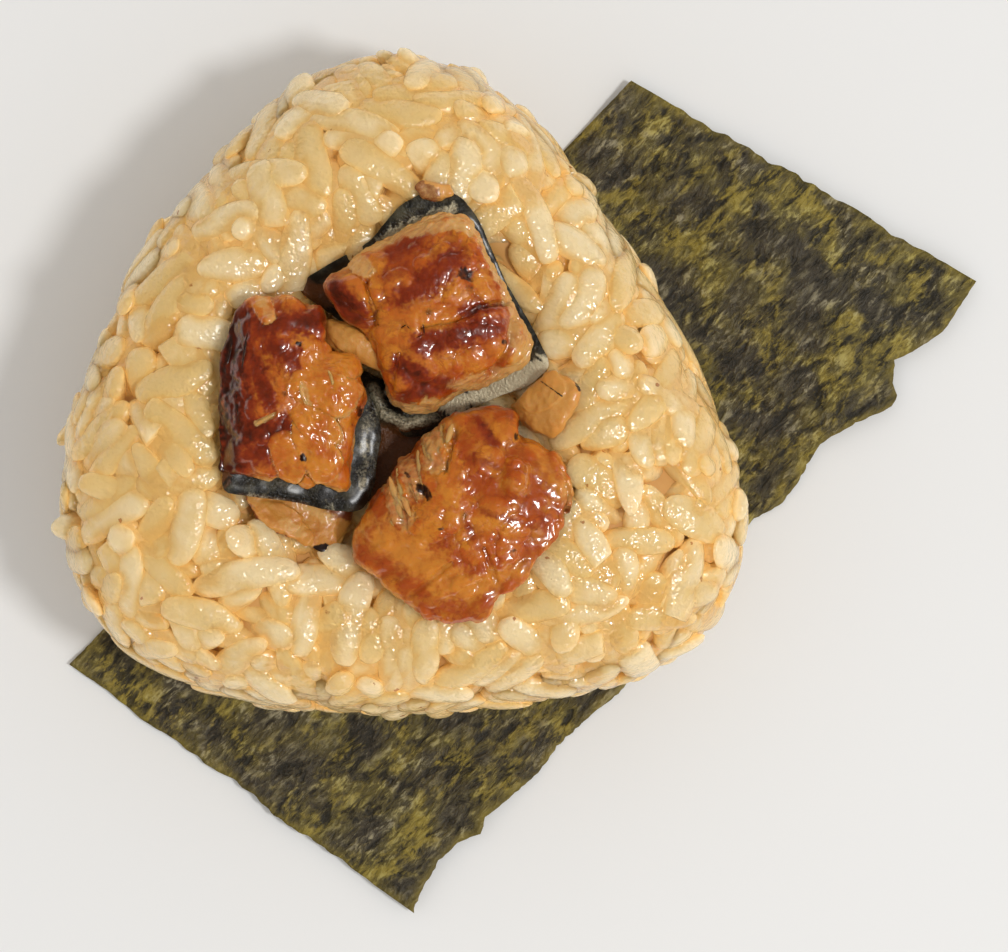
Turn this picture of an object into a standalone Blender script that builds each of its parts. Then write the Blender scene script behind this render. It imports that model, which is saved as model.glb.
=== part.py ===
"""A hand-pressed rice ball with grilled eel, lying on its broad face on a strip of nori.

The ball is a rounded triangle with a dimple pressed into its upper face. Three pieces of
glazed eel sit in the dimple with the skin that shows under two of them, and three smaller
bits of flesh fill in beside and below them.

Units are metres and +Z is up. The origin is on the table, under the middle of the whole
object's bounding box. +Y points to the apex of the triangle.
"""

import math
import random

import bmesh
import bpy
import numpy as np
from mathutils import Matrix, Vector, noise
from mathutils.bvhtree import BVHTree

MM = 0.001

# The gap that touching pieces keep, and the wider one that soft layers keep over coarse facets
TOUCH_GAP = 0.3 * MM
LAYER_GAP = 0.65 * MM

# Rice ball: the outline is given by its radius every 30 degrees, turning from +X to +Y
BALL_CENTRE = Vector((-15.6 * MM, 10.4 * MM))
OUTLINE_RADII = [r * MM for r in (40.5, 36.4, 39.5, 45.8, 41.1, 38.9, 41.9, 47.7, 43.1, 39.5, 42.7, 48.7)]
BALL_EQUATOR = 14.5 * MM
CROWN_HEIGHT = 33.0 * MM
EDGE_POWER = 3.0
BASE_OVERREACH = 1.12
CORE_FINENESS = 3
CORE_UNEVENNESS = 0.45 * MM

# The dimple that holds the eel
DIMPLE_CENTRE = Vector((-16.6 * MM, 10.2 * MM))
DIMPLE_REACH = Vector((28.5 * MM, 31.5 * MM))
DIMPLE_FLAT_SHARE = 0.30
DIMPLE_DEPTH = 8.5 * MM

# One cooked grain of short rice
GRAIN_LENGTH = 7.8 * MM
GRAIN_WIDTH = 3.9 * MM
GRAIN_HEIGHT = 3.3 * MM
GRAIN_PROUD = 1.5 * MM
GRAIN_SPACING = 3.3 * MM
GRAIN_TILT = math.radians(12)
GRAIN_LENGTH_SPREAD = 0.1
GRAIN_CLEARANCE = 2.4 * MM
GRAIN_SPOT_FINENESS = 6
GRAIN_SEED = 11
MOST_GRAINS = 230

# Nori: the four corners of the strip, how it lies and how its edges are torn
NORI_THICKNESS = 0.25 * MM
NORI_CORNERS = {
    "left": Vector((-60.3 * MM, -23.2 * MM)),
    "near": Vector((-14.4 * MM, -56.2 * MM)),
    "right": Vector((60.3 * MM, 27.7 * MM)),
    "far": Vector((14.4 * MM, 54.4 * MM)),
}
NORI_CELLS = (24, 9)
NORI_CURL = 1.5 * MM
NORI_CURL_START = 4.0 * MM
NORI_CURL_REACH = 22.0 * MM
NORI_RIPPLE = 0.7 * MM
NORI_RIPPLE_LENGTH = 17.0 * MM
NORI_RAGGED = 0.8 * MM
NORI_RAGS_ALONG = 22
NORI_RAGS_ACROSS = 7
# Bites out of the ragged long edge: place and half width as shares of its length, and depth
NORI_BITES = ((0.155, 0.05, 2.6 * MM), (0.42, 0.10, 1.2 * MM), (0.745, 0.05, 2.0 * MM), (0.865, 0.06, 4.6 * MM))

# Eel: each piece is an outline in plan, in millimetres, between a bed and a top.
# A bed and a top are given by a height at the centre and the slope along X and Y.
SKIN_THICKNESS = 0.7 * MM
SKIN_CELLS = 8
SHRED = 1.0 * MM
BED_BLEND = 2.5 * MM
FALL_REACH = 12 * MM
FLESH_POWER = 4.0
FLESH_LUMP_LENGTH = 5.5 * MM
FLESH_LUMPS = 1.0 * MM
BIT_LUMPS = 0.3 * MM
BIT_THICKNESS = 3.2 * MM
FLESH_FALL = 1.6 * MM
FLESH_TAPER = 0.10
FLESH_MESH = (30, 11)
BIT_MESH = (16, 8)

LEFT_CENTRE = (-29.3, 12.0)
LEFT_BED = (29.4, (-0.16, -0.03))
LEFT_TOP = (36.4, (-0.03, 0.0))
LEFT_OUTLINE = (
    (-20.6, 16.0), (-19.7, 11.0), (-21.2, 7.5), (-21.5, 0.2), (-26.5, 0.9), (-37.9, 2.2),
    (-37.6, 16.5), (-36.0, 22.6), (-33.5, 24.6), (-28.5, 24.6), (-24.7, 22.6), (-24.2, 17.2),
)
LEFT_SKIN_OUTLINE = (
    (-37.4, -0.1), (-24.4, -2.4), (-20.0, -2.5), (-18.5, 2.0), (-17.8, 6.9),
    (-19.2, 12.0), (-21.5, 15.4), (-25.6, 21.8), (-33.5, 23.4), (-36.8, 16.0),
)
TOP_CENTRE = (-11.7, 21.9)
TOP_BED = (26.4, (0.02, 0.02))
TOP_TOP = (36.0, (0.0, 0.02))
TOP_OUTLINE = (
    (-24.6, 25.3), (-21.8, 21.2), (-18.2, 17.4), (-16.5, 13.5), (-15.7, 9.3), (-13.8, 8.2), (-9.8, 9.8),
    (-4.2, 14.8), (0.2, 17.6), (-0.3, 21.6), (-4.4, 29.6), (-6.6, 34.0), (-10.5, 33.4), (-20.6, 28.6),
)
TOP_SKIN_OUTLINE = (
    (-28.8, 25.4), (-19.3, 31.2), (-15.4, 35.4), (-11.6, 37.4), (-7.4, 36.4), (-1.7, 26.2), (3.6, 15.6),
    (0.8, 13.1), (-9.2, 9.2), (-11.8, 6.4), (-15.2, 6.4), (-16.8, 10.0), (-17.6, 15.0), (-22.0, 20.6),
)
RIGHT_CENTRE = (-7.3, -3.0)
RIGHT_BED = (25.2, (0.0, 0.0))
RIGHT_TOP = (35.8, (0.0, 0.0))
RIGHT_OUTLINE = (
    (-21.5, -7.0), (-18.0, -0.5), (-13.8, 4.4), (-9.6, 8.4), (-3.7, 10.4), (-0.3, 8.6), (4.7, 4.3),
    (6.6, -0.6), (2.1, -8.4), (-5.0, -15.8), (-9.6, -16.8), (-15.9, -13.6), (-21.1, -9.0),
)
STRIP_CENTRE = (-20.9, 18.2)
STRIP_TOP = (32.8, (0.0, 0.0))
STRIP_OUTLINE = (
    (-23.7, 21.3), (-22.6, 21.1), (-20.5, 19.0), (-18.8, 16.9), (-17.6, 14.6), (-19.2, 15.9),
    (-20.9, 17.1), (-23.3, 18.0),
)
UNDER_CENTRE = (-27.6, -3.0)
UNDER_OUTLINE = (
    (-35.2, -0.6), (-33.1, -4.3), (-28.6, -6.3), (-25.0, -8.0), (-22.6, -7.4), (-21.6, -4.6),
    (-21.2, -1.5), (-23.0, 1.5), (-33.0, 2.0),
)
FLAKE_CENTRE = (3.2, 10.7)
FLAKE_OUTLINE = (
    (4.6, 14.0), (6.9, 12.7), (6.2, 9.8), (4.2, 7.2), (2.2, 7.6), (0.3, 9.6), (-1.3, 11.0), (1.2, 12.4),
)

COLOURS = {
    "rice": ((0.76, 0.52, 0.23), 0.35),
    "glazed_flesh": ((0.42, 0.12, 0.02), 0.22),
    "pale_flesh": ((0.55, 0.27, 0.09), 0.35),
    "skin": ((0.035, 0.035, 0.03), 0.3),
    "nori": ((0.075, 0.075, 0.02), 0.5),
}


def clear_scene():
    for obj in list(bpy.data.objects):
        bpy.data.objects.remove(obj)
    for collection in list(bpy.data.collections):
        bpy.data.collections.remove(collection)


def new_collection(name):
    collection = bpy.data.collections.new(name)
    bpy.context.scene.collection.children.link(collection)
    return collection


def material(name):
    """The named finish, made once and shared by the pieces that have it."""
    found = bpy.data.materials.get(name)
    if found:
        return found
    colour, roughness = COLOURS[name]
    made = bpy.data.materials.new(name)
    made.use_nodes = True
    shader = made.node_tree.nodes["Principled BSDF"]
    shader.inputs["Base Color"].default_value = (*colour, 1.0)
    shader.inputs["Roughness"].default_value = roughness
    shader.inputs["Metallic"].default_value = 0.0
    return made


def smoothstep(low, high, value):
    share = min(1.0, max(0.0, (value - low) / (high - low)))
    return share * share * (3 - 2 * share)


def object_of(name, bm, collection, root, finish, location):
    """Stores a bmesh built in place as an object with its origin at a location, under the root."""
    mesh = bpy.data.meshes.new(name)
    bmesh.ops.translate(bm, verts=bm.verts, vec=-location)
    bmesh.ops.recalc_face_normals(bm, faces=bm.faces)
    bm.to_mesh(mesh)
    bm.free()
    mesh.materials.append(material(finish))
    obj = bpy.data.objects.new(name, mesh)
    obj.location = location
    obj.parent = root
    collection.objects.link(obj)
    return obj


def thicken(obj, thickness):
    """Turns a flat sheet into a closed thin solid that rises above it."""
    if obj.data.polygons[0].normal.z < 0:
        obj.data.flip_normals()
    solidify = obj.modifiers.new("thickness", "SOLIDIFY")
    solidify.thickness = thickness
    solidify.offset = 1.0


# Rice ball

CORE_BASE = NORI_THICKNESS + TOUCH_GAP


def outline_waves():
    """The harmonics of the smooth closed curve through OUTLINE_RADII."""
    return np.fft.rfft(OUTLINE_RADII) / len(OUTLINE_RADII)


WAVES = outline_waves()


def outline_radius(angle):
    """The ball's radius in plan, in the direction of an angle."""
    radius = WAVES[0].real
    last = len(WAVES) - 1
    for order, wave in enumerate(WAVES[1:], start=1):
        weight = 1 if order == last else 2
        radius += weight * (wave.real * math.cos(order * angle) - wave.imag * math.sin(order * angle))
    return radius


def dimple_drop(x, y):
    """How far the dimple lowers the upper face at a point."""
    across = (x - DIMPLE_CENTRE.x) / DIMPLE_REACH.x
    along = (y - DIMPLE_CENTRE.y) / DIMPLE_REACH.y
    return DIMPLE_DEPTH * (1 - smoothstep(DIMPLE_FLAT_SHARE, 1.0, math.hypot(across, along)))


def core_radius(angle):
    return outline_radius(angle) - GRAIN_PROUD


def on_core(direction):
    """The point of the bare core that a unit direction from its middle leads to."""
    flat = math.hypot(direction.x, direction.y)
    reach = (flat**EDGE_POWER + abs(direction.z) ** EDGE_POWER) ** (-1 / EDGE_POWER)
    radius = core_radius(math.atan2(direction.y, direction.x)) * reach
    x = BALL_CENTRE.x + direction.x * radius
    y = BALL_CENTRE.y + direction.y * radius
    rise = direction.z * reach
    if rise > 0:
        z = BALL_EQUATOR + rise * (CROWN_HEIGHT - BALL_EQUATOR) - dimple_drop(x, y)
    else:
        z = BALL_EQUATOR + rise * (BALL_EQUATOR - CORE_BASE) * BASE_OVERREACH
    return Vector((x, y, max(z, CORE_BASE)))


def core_bmesh(subdivisions):
    """The bare core, built in place."""
    bm = bmesh.new()
    bmesh.ops.create_icosphere(bm, subdivisions=subdivisions, radius=1.0)
    for vertex in bm.verts:
        vertex.co = on_core(vertex.co.normalized())
    bm.normal_update()
    return bm


def roughen_core(bm):
    """Gives the bare core between the grains its own unevenness, clear of eel and nori."""
    moves = []
    for vertex in bm.verts:
        if vertex.co.z <= CORE_BASE or dimple_drop(vertex.co.x, vertex.co.y) > 0 and vertex.normal.z > 0:
            continue
        swell = CORE_UNEVENNESS * noise.noise(vertex.co / GRAIN_WIDTH)
        moves.append((vertex, vertex.normal * swell))
    for vertex, move in moves:
        vertex.co += move


def grain_axis_points(centre, along):
    """Three points down the middle of a grain, which keep it clear of its neighbours."""
    reach = (GRAIN_LENGTH - GRAIN_WIDTH) / 2
    return [centre - along * reach, centre, centre + along * reach]


def covered_by_eel(point, pieces):
    """True where a grain at this point would run into a piece of eel."""
    return any(piece.covers(point.x, point.y, GRAIN_CLEARANCE) for piece in pieces)


def grain_places(pieces):
    """Places of the fused grains, in seeded random order, each clear of those before it."""
    draw = random.Random(GRAIN_SEED)
    bm = core_bmesh(GRAIN_SPOT_FINENESS)
    spots = [(vertex.co.copy(), vertex.normal.copy()) for vertex in bm.verts]
    bm.free()
    draw.shuffle(spots)
    taken = np.empty((0, 3))
    places = []
    for spot, normal in spots:
        centre = spot + normal * (GRAIN_PROUD - GRAIN_HEIGHT / 2)
        along = Matrix.Rotation(draw.uniform(0, math.pi), 3, normal) @ normal.orthogonal().normalized()
        along = Matrix.Rotation(draw.uniform(-GRAIN_TILT, GRAIN_TILT), 3, normal.cross(along)) @ along
        points = grain_axis_points(centre, along)
        if min(point.z for point in points) < CORE_BASE + GRAIN_HEIGHT / 2:
            continue
        if any(covered_by_eel(point, pieces) for point in points):
            continue
        gaps = np.linalg.norm(taken[:, None] - np.array(points), axis=2)
        if gaps.size and gaps.min() < GRAIN_SPACING:
            continue
        taken = np.vstack([taken, points])
        length = GRAIN_LENGTH * draw.uniform(1 - GRAIN_LENGTH_SPREAD, 1 + GRAIN_LENGTH_SPREAD)
        places.append((centre, along, normal, length))
        if len(places) == MOST_GRAINS:
            break
    return places


def fuse(core, grains):
    """Joins the grains to the core with one union, and drops the separate grains."""
    union = core.modifiers.new("join_grains", "BOOLEAN")
    union.operation = "UNION"
    union.operand_type = "COLLECTION"
    union.collection = grains
    union.solver = "EXACT"
    graph = bpy.context.evaluated_depsgraph_get()
    joined = bpy.data.meshes.new_from_object(core.evaluated_get(graph))
    core.modifiers.clear()
    core.data = joined
    for grain in list(grains.objects):
        bpy.data.objects.remove(grain)
    bpy.data.collections.remove(grains)
    keep_largest_part(joined)


def keep_largest_part(mesh):
    """Drops scraps and fills sealed hollows: only the outer shell is kept."""
    bm = bmesh.new()
    bm.from_mesh(mesh)
    unseen = set(bm.verts)
    shells = []
    while unseen:
        stack = [unseen.pop()]
        shell = set(stack)
        while stack:
            for edge in stack.pop().link_edges:
                for vertex in edge.verts:
                    if vertex in unseen:
                        unseen.discard(vertex)
                        shell.add(vertex)
                        stack.append(vertex)
        shells.append(shell)
    largest = max(shells, key=len)
    bmesh.ops.delete(bm, geom=[v for v in bm.verts if v not in largest], context="VERTS")
    bm.to_mesh(mesh)
    bm.free()


def grain_mesh():
    """A unit icosahedron, which each grain stretches to its own size."""
    bm = bmesh.new()
    bmesh.ops.create_icosphere(bm, subdivisions=1, radius=0.5)
    mesh = bpy.data.meshes.new("grain")
    bm.to_mesh(mesh)
    bm.free()
    return mesh


def make_rice_ball(collection, root, core_mesh, pieces):
    """The pressed ball: its core with the grains that show fused on."""
    core = object_of("rice_ball", core_mesh, collection, root, "rice", Vector((*BALL_CENTRE, CORE_BASE)))
    grains = new_collection("grains")
    shape = grain_mesh()
    places = grain_places(pieces)
    for centre, along, normal, length in places:
        side = normal.cross(along).normalized()
        turn = Matrix((along, side, along.cross(side))).transposed()
        size = Matrix.Diagonal((length, GRAIN_WIDTH, GRAIN_HEIGHT))
        grain = bpy.data.objects.new("grain", shape)
        grain.matrix_world = Matrix.Translation(centre) @ (turn @ size).to_4x4()
        grains.objects.link(grain)
    bpy.context.view_layer.update()
    fuse(core, grains)
    print("grains", len(places), "triangles", sum(len(p.vertices) - 2 for p in core.data.polygons))
    return core


# Eel


class Piece:
    """One piece of eel: an outline in plan, in millimetres, between two surfaces."""

    def __init__(self, name, finish, centre, outline, lower, upper):
        self.name = name
        self.finish = finish
        self.centre = Vector(centre) * MM
        corners = [Vector(corner) * MM - self.centre for corner in outline]
        self.corners = sorted(corners, key=lambda corner: math.atan2(corner.y, corner.x))
        self.lower = lower
        self.upper = upper

    def radius(self, way):
        """Distance from the centre to the straight-sided outline along a unit vector."""
        for start, finish in zip(self.corners, self.corners[1:] + self.corners[:1]):
            if start.cross(way) >= 0 and way.cross(finish) >= 0:
                side = finish - start
                return start.cross(side) / way.cross(side)
        return 0.0

    def covers(self, x, y, margin):
        """True where a point in plan is inside the outline or within a margin of it."""
        offset = Vector((x, y)) - self.centre
        return offset.length < self.radius(offset.normalized()) + margin

    def origin(self):
        return Vector((*self.centre, self.lower(*self.centre)))

    def spot(self, share, way, level):
        """The point at a share of the way to the rim, and at a level between the surfaces."""
        plan = self.centre + way * self.radius(way) * share * (1 - FLESH_TAPER * level)
        low = self.lower(*plan)
        high = max(self.upper(*plan), low + SHRED)
        return Vector((*plan, low + (high - low) * level))


def make_flesh(piece, collection, root, sides, rings, lumps):
    """A pillow with a flat base, full sides and a lumpy top."""
    bm = bmesh.new()
    bmesh.ops.create_uvsphere(bm, u_segments=sides, v_segments=rings, radius=1.0)
    for vertex in bm.verts:
        flat = math.hypot(vertex.co.x, vertex.co.y)
        reach = (flat**FLESH_POWER + abs(vertex.co.z) ** FLESH_POWER) ** (-1 / FLESH_POWER)
        way = vertex.co.xy.normalized() if flat > 0 else Vector((1, 0))
        level = (vertex.co.z * reach + 1) / 2
        vertex.co = piece.spot(flat * reach, way, level)
        vertex.co.z += lumps * level * noise.noise(Vector((*vertex.co.xy, 0)) / FLESH_LUMP_LENGTH)
    obj = object_of(piece.name, bm, collection, root, piece.finish, piece.origin())
    obj.data.shade_smooth()
    return obj


def make_skin(piece, collection, root):
    """A thin sheet on its bed, thickened upwards."""
    bm = bmesh.new()
    bmesh.ops.create_grid(bm, x_segments=SKIN_CELLS, y_segments=SKIN_CELLS, size=1.0)
    for vertex in bm.verts:
        longer = max(abs(vertex.co.x), abs(vertex.co.y))
        way = vertex.co.xy.normalized() if longer > 0 else Vector((1, 0))
        vertex.co = piece.spot(longer, way, 0.0)
    bmesh.ops.triangulate(bm, faces=bm.faces)
    obj = object_of(piece.name, bm, collection, root, piece.finish, piece.origin())
    thicken(obj, SKIN_THICKNESS)
    return obj


def above(surface, thickness):
    return lambda x, y: surface(x, y) + thickness


def lower_of(first, second):
    return lambda x, y: min(first(x, y), second(x, y))


def plane(centre, shape):
    """A sloped plane, from its height in millimetres at a centre and its two slopes."""
    height, slope = shape

    def surface(x, y):
        offset = Vector((x, y)) - Vector(centre) * MM
        return height * MM + offset.dot(Vector(slope))

    return surface


def crowned(centre, shape):
    """A plane that falls away on all sides of its centre."""
    flat = plane(centre, shape)

    def surface(x, y):
        offset = Vector((x, y)) - Vector(centre) * MM
        return flat(x, y) - FLESH_FALL * offset.length_squared / FALL_REACH**2

    return surface


def bed(flat, rice):
    """The underside of a soft piece: a plane, bent up softly where the rice rises above it."""

    def surface(x, y):
        low, high = flat(x, y), rice(x, y) + LAYER_GAP
        share = min(1.0, max(0.0, 0.5 + 0.5 * (high - low) / BED_BLEND))
        return low + (high - low) * share + BED_BLEND * share * (1 - share)

    return surface


def rice_surface(core):
    """Height of the bare core's faceted upper face."""
    tree = BVHTree.FromBMesh(core)
    sky = Vector((0, 0, 1))

    def surface(x, y):
        hit = tree.ray_cast(Vector((x, y, 1.0)), -sky)[0]
        return hit.z if hit else CORE_BASE

    return surface


def eel_pieces(rice):
    """The eel as it was laid in the dimple: its skins, its three fillets and its small bits."""
    left_bed = bed(plane(LEFT_CENTRE, LEFT_BED), rice)
    top_bed = bed(plane(TOP_CENTRE, TOP_BED), rice)
    right_bed = bed(plane(RIGHT_CENTRE, RIGHT_BED), rice)
    bare_bed = above(rice, LAYER_GAP)
    on_left_skin = above(left_bed, SKIN_THICKNESS + LAYER_GAP)
    on_top_skin = above(top_bed, SKIN_THICKNESS + LAYER_GAP)
    bit_top = above(bare_bed, BIT_THICKNESS)
    tucked_top = lower_of(bit_top, above(left_bed, -LAYER_GAP))
    left_top = crowned(LEFT_CENTRE, LEFT_TOP)
    top_top = crowned(TOP_CENTRE, TOP_TOP)
    right_top = crowned(RIGHT_CENTRE, RIGHT_TOP)
    strip_top = crowned(STRIP_CENTRE, STRIP_TOP)
    skins = [
        Piece("eel_left_skin", "skin", LEFT_CENTRE, LEFT_SKIN_OUTLINE, left_bed, left_bed),
        Piece("eel_top_skin", "skin", TOP_CENTRE, TOP_SKIN_OUTLINE, top_bed, top_bed),
    ]
    fillets = [
        Piece("eel_left", "glazed_flesh", LEFT_CENTRE, LEFT_OUTLINE, on_left_skin, left_top),
        Piece("eel_top", "glazed_flesh", TOP_CENTRE, TOP_OUTLINE, on_top_skin, top_top),
        Piece("eel_right", "glazed_flesh", RIGHT_CENTRE, RIGHT_OUTLINE, right_bed, right_top),
    ]
    bits = [
        Piece("eel_strip", "pale_flesh", STRIP_CENTRE, STRIP_OUTLINE, on_left_skin, strip_top),
        Piece("eel_under", "pale_flesh", UNDER_CENTRE, UNDER_OUTLINE, bare_bed, tucked_top),
        Piece("eel_flake", "pale_flesh", FLAKE_CENTRE, FLAKE_OUTLINE, bare_bed, bit_top),
    ]
    return skins, fillets, bits


# Nori


def nori_point(along, across):
    """Plan position on the strip: along its length, and across it from the straight to the torn edge."""
    straight = NORI_CORNERS["left"].lerp(NORI_CORNERS["far"], along)
    torn = NORI_CORNERS["near"].lerp(NORI_CORNERS["right"], along)
    bite = sum(depth * math.exp(-(((along - place) / width) ** 2)) for place, width, depth in NORI_BITES)
    bite += NORI_RAGGED * (1 + noise.noise(Vector((along * NORI_RAGS_ALONG, 0, 0)))) / 2
    torn += (straight - torn).normalized() * bite * math.sqrt(math.sin(math.pi * along))
    lengthways = (NORI_CORNERS["far"] - NORI_CORNERS["left"]).normalized()
    end_share = abs(2 * along - 1) ** 8
    rag = noise.noise(Vector((across * NORI_RAGS_ACROSS, 3 * round(along), 0)))
    wander = NORI_RAGGED * rag * end_share * math.sin(math.pi * across)
    return straight.lerp(torn, across) + lengthways * wander


def nori_height(point):
    """The strip lies flat under the ball and lifts in soft ripples where it is free."""
    offset = point - BALL_CENTRE
    outside = offset.length - outline_radius(math.atan2(offset.y, offset.x))
    free = smoothstep(-NORI_CURL_START, NORI_CURL_REACH, outside)
    ripple = noise.noise(Vector((point.x, point.y, 0)) / NORI_RIPPLE_LENGTH)
    return free * (NORI_CURL * (1 + free) / 2 + NORI_RIPPLE * ripple)


def make_nori(collection, root):
    """The thin wavy strip, triangulated before it is thickened so that both faces match."""
    bm = bmesh.new()
    columns, rows = NORI_CELLS
    bmesh.ops.create_grid(bm, x_segments=columns, y_segments=rows, size=0.5)
    for vertex in bm.verts:
        point = nori_point(vertex.co.x + 0.5, 0.5 - vertex.co.y)
        vertex.co = (point.x, point.y, nori_height(point))
    bmesh.ops.triangulate(bm, faces=bm.faces)
    obj = object_of("nori", bm, collection, root, "nori", Vector())
    thicken(obj, NORI_THICKNESS)
    return obj


def main():
    clear_scene()
    onigiri = new_collection("onigiri")
    root = bpy.data.objects.new("onigiri_root", None)
    onigiri.objects.link(root)
    core = core_bmesh(CORE_FINENESS)
    roughen_core(core)
    skins, fillets, bits = eel_pieces(rice_surface(core))
    for piece in skins:
        make_skin(piece, onigiri, root)
    for piece in fillets:
        make_flesh(piece, onigiri, root, *FLESH_MESH, FLESH_LUMPS)
    for piece in bits:
        make_flesh(piece, onigiri, root, *BIT_MESH, BIT_LUMPS)
    make_nori(onigiri, root)
    make_rice_ball(onigiri, root, core, skins + fillets + bits)


main()
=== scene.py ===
# %% [markdown]
# # A rice ball with grilled eel
#
# The imported part gives the plain solids: a pressed ball of rice, three pieces of eel with
# their skin, three bits of flesh and a strip of nori. This lesson dresses each of them as
# food. The solids are loaded first, because every piece that follows has to lie where its
# solid lies.

# %% Load the imported part
import math

import bmesh
import bpy
import numpy as np
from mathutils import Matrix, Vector, noise
from mathutils.bvhtree import BVHTree


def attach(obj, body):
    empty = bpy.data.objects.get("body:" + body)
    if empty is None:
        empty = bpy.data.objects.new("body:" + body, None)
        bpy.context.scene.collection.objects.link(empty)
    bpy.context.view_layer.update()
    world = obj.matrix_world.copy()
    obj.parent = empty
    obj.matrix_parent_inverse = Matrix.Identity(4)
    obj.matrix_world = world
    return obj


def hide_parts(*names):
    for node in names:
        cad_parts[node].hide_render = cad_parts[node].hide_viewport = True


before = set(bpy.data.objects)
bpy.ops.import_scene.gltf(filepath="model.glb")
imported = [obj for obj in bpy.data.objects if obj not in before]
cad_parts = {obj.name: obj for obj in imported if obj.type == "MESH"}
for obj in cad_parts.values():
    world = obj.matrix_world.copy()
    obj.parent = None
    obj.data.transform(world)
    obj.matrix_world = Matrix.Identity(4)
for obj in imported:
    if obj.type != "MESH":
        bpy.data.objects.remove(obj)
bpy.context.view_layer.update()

MM = 0.001
print("solids:", sorted(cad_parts))

# %% [markdown]
# ## Camera
#
# The photograph looks straight down, with the apex of the ball at the top of the picture.
# A camera turned by nothing looks down already. It could stand anywhere above with some
# lens, but near objects look larger from close by, so its height matters: 450 mm makes the
# top of the eel and the nori on the table spread as they do in the photograph.

# %% Camera
PHOTO_WIDTH = 1008
CAMERA_PLACE = (-2.45 * MM, 1.85 * MM, 450 * MM)
PIXELS_PER_SLOPE = 3377

camera_data = bpy.data.cameras.new("camera")
camera_data.sensor_width = 36
camera_data.lens = camera_data.sensor_width * PIXELS_PER_SLOPE / PHOTO_WIDTH
camera = bpy.data.objects.new("camera", camera_data)
camera.location = CAMERA_PLACE
bpy.context.scene.collection.objects.link(camera)
bpy.context.scene.camera = camera
print("lens", round(camera_data.lens, 1), "mm")

# %% [markdown]
# ## Writing a finish as sums
#
# A finish is a tree of nodes, and a tree is slow to read. Here a small class stands for
# the output of a node, so that adding or multiplying two of them adds a Math node. A
# second one stands for a whole finish. Its one method makes any other kind of node, from
# its settings and the values of its sockets.


# %% Sockets as Python values
class Wire:
    """The output of one node, for use in sums."""

    def __init__(self, finish, socket):
        self.finish = finish
        self.socket = socket

    def math(self, operation, first, second):
        return self.finish.node("Math", {"operation": operation}, {0: first, 1: second})

    def __add__(self, other):
        return self.math("ADD", self, other)

    def __sub__(self, other):
        return self.math("SUBTRACT", self, other)

    def __rsub__(self, other):
        return self.math("SUBTRACT", other, self)

    def __mul__(self, other):
        return self.math("MULTIPLY", self, other)

    __radd__ = __add__
    __rmul__ = __mul__


class Nodes:
    """A tree of nodes, which grows as sums are written."""

    def __init__(self, tree):
        self.tree = tree

    def node(self, kind, settings=None, values=None, output=0):
        """Any node: its settings first, then the values or links of its sockets."""
        made = self.tree.nodes.new("ShaderNode" + kind)
        for key, setting in (settings or {}).items():
            if key == "stops":
                self.set_stops(made.color_ramp, setting)
            else:
                setattr(made, key, setting)
        for key, value in (values or {}).items():
            self.feed(made.inputs[key], value)
        return Wire(self, made.outputs[output])

    def set_stops(self, ramp, stops):
        while len(ramp.elements) < len(stops):
            ramp.elements.new(1.0)
        for element, (place, colour) in zip(ramp.elements, stops):
            element.position = place
            element.color = (*colour, 1.0)

    def feed(self, socket, value):
        if isinstance(value, Wire):
            self.tree.links.new(value.socket, socket)
        elif socket.type == "RGBA" and len(value) == 3:
            socket.default_value = (*value, 1.0)
        else:
            socket.default_value = value


class Finish(Nodes):
    """One material, with its Principled shader and what feeds it."""

    def __init__(self, name, **plain):
        self.material = bpy.data.materials.new(name)
        self.material.use_nodes = True
        super().__init__(self.material.node_tree)
        self.shader = self.tree.nodes["Principled BSDF"]
        for socket, value in plain.items():
            self.shader.inputs[socket.replace("_", " ")].default_value = value

    def drive(self, socket, value):
        """Feeds one of the shader's own sockets."""
        self.feed(self.shader.inputs[socket], value)

    def place(self):
        """The point of the surface, in metres, in the frame of the part."""
        return self.node("TexCoord", output="Object")

    def stored(self, name):
        """A number that the mesh carries at each of its points."""
        return self.node("Attribute", {"attribute_name": name}, output="Fac")

    def mark(self, name, *noises):
        """A stored number with its edge broken up by noises, each with its strength."""
        value = self.stored(name)
        for grains, strength in noises:
            value = value + (grains - 0.5) * strength
        return value

    def grain(self, size, detail=3.0, roughness=0.55, at=None, warp=0.0):
        """Soft noise from 0 to 1 with features of one size, in metres."""
        values = {
            "Vector": at or self.place(), "Scale": 1 / size, "Detail": detail, "Roughness": roughness,
            "Distortion": warp,
        }
        return self.node("TexNoise", None, values)

    def cells(self, size):
        """Distance to the nearest of the points scattered one size apart."""
        return self.node("TexVoronoi", None, {"Vector": self.place(), "Scale": 1 / size}, "Distance")

    def step(self, value, low, high):
        """0 below low, 1 above high, and smooth between them."""
        values = {"Value": value, "From Min": low, "From Max": high}
        return self.node("MapRange", {"interpolation_type": "SMOOTHSTEP"}, values)

    def blend(self, first, second, share):
        """Two colours mixed by a share of the second."""
        return self.node("Mix", {"data_type": "RGBA"}, {0: share, 6: first, 7: second}, 2)

    def relief(self, height, depth):
        """Bump from a height that runs from 0 to 1, with its true depth in metres."""
        self.drive("Normal", self.node("Bump", None, {"Height": height, "Distance": depth}))


def paint(*levels):
    """A colour read from a picture, 0 to 255, as the linear colour that a shader takes."""
    shares = [level / 255 for level in levels]
    return tuple(s / 12.92 if s <= 0.04045 else ((s + 0.055) / 1.055) ** 2.4 for s in shares)


def paints(*colours):
    return [paint(*levels) for levels in colours]


print("a picture's middle grey is", round(paint(128)[0], 2), "of white to a shader")

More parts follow.
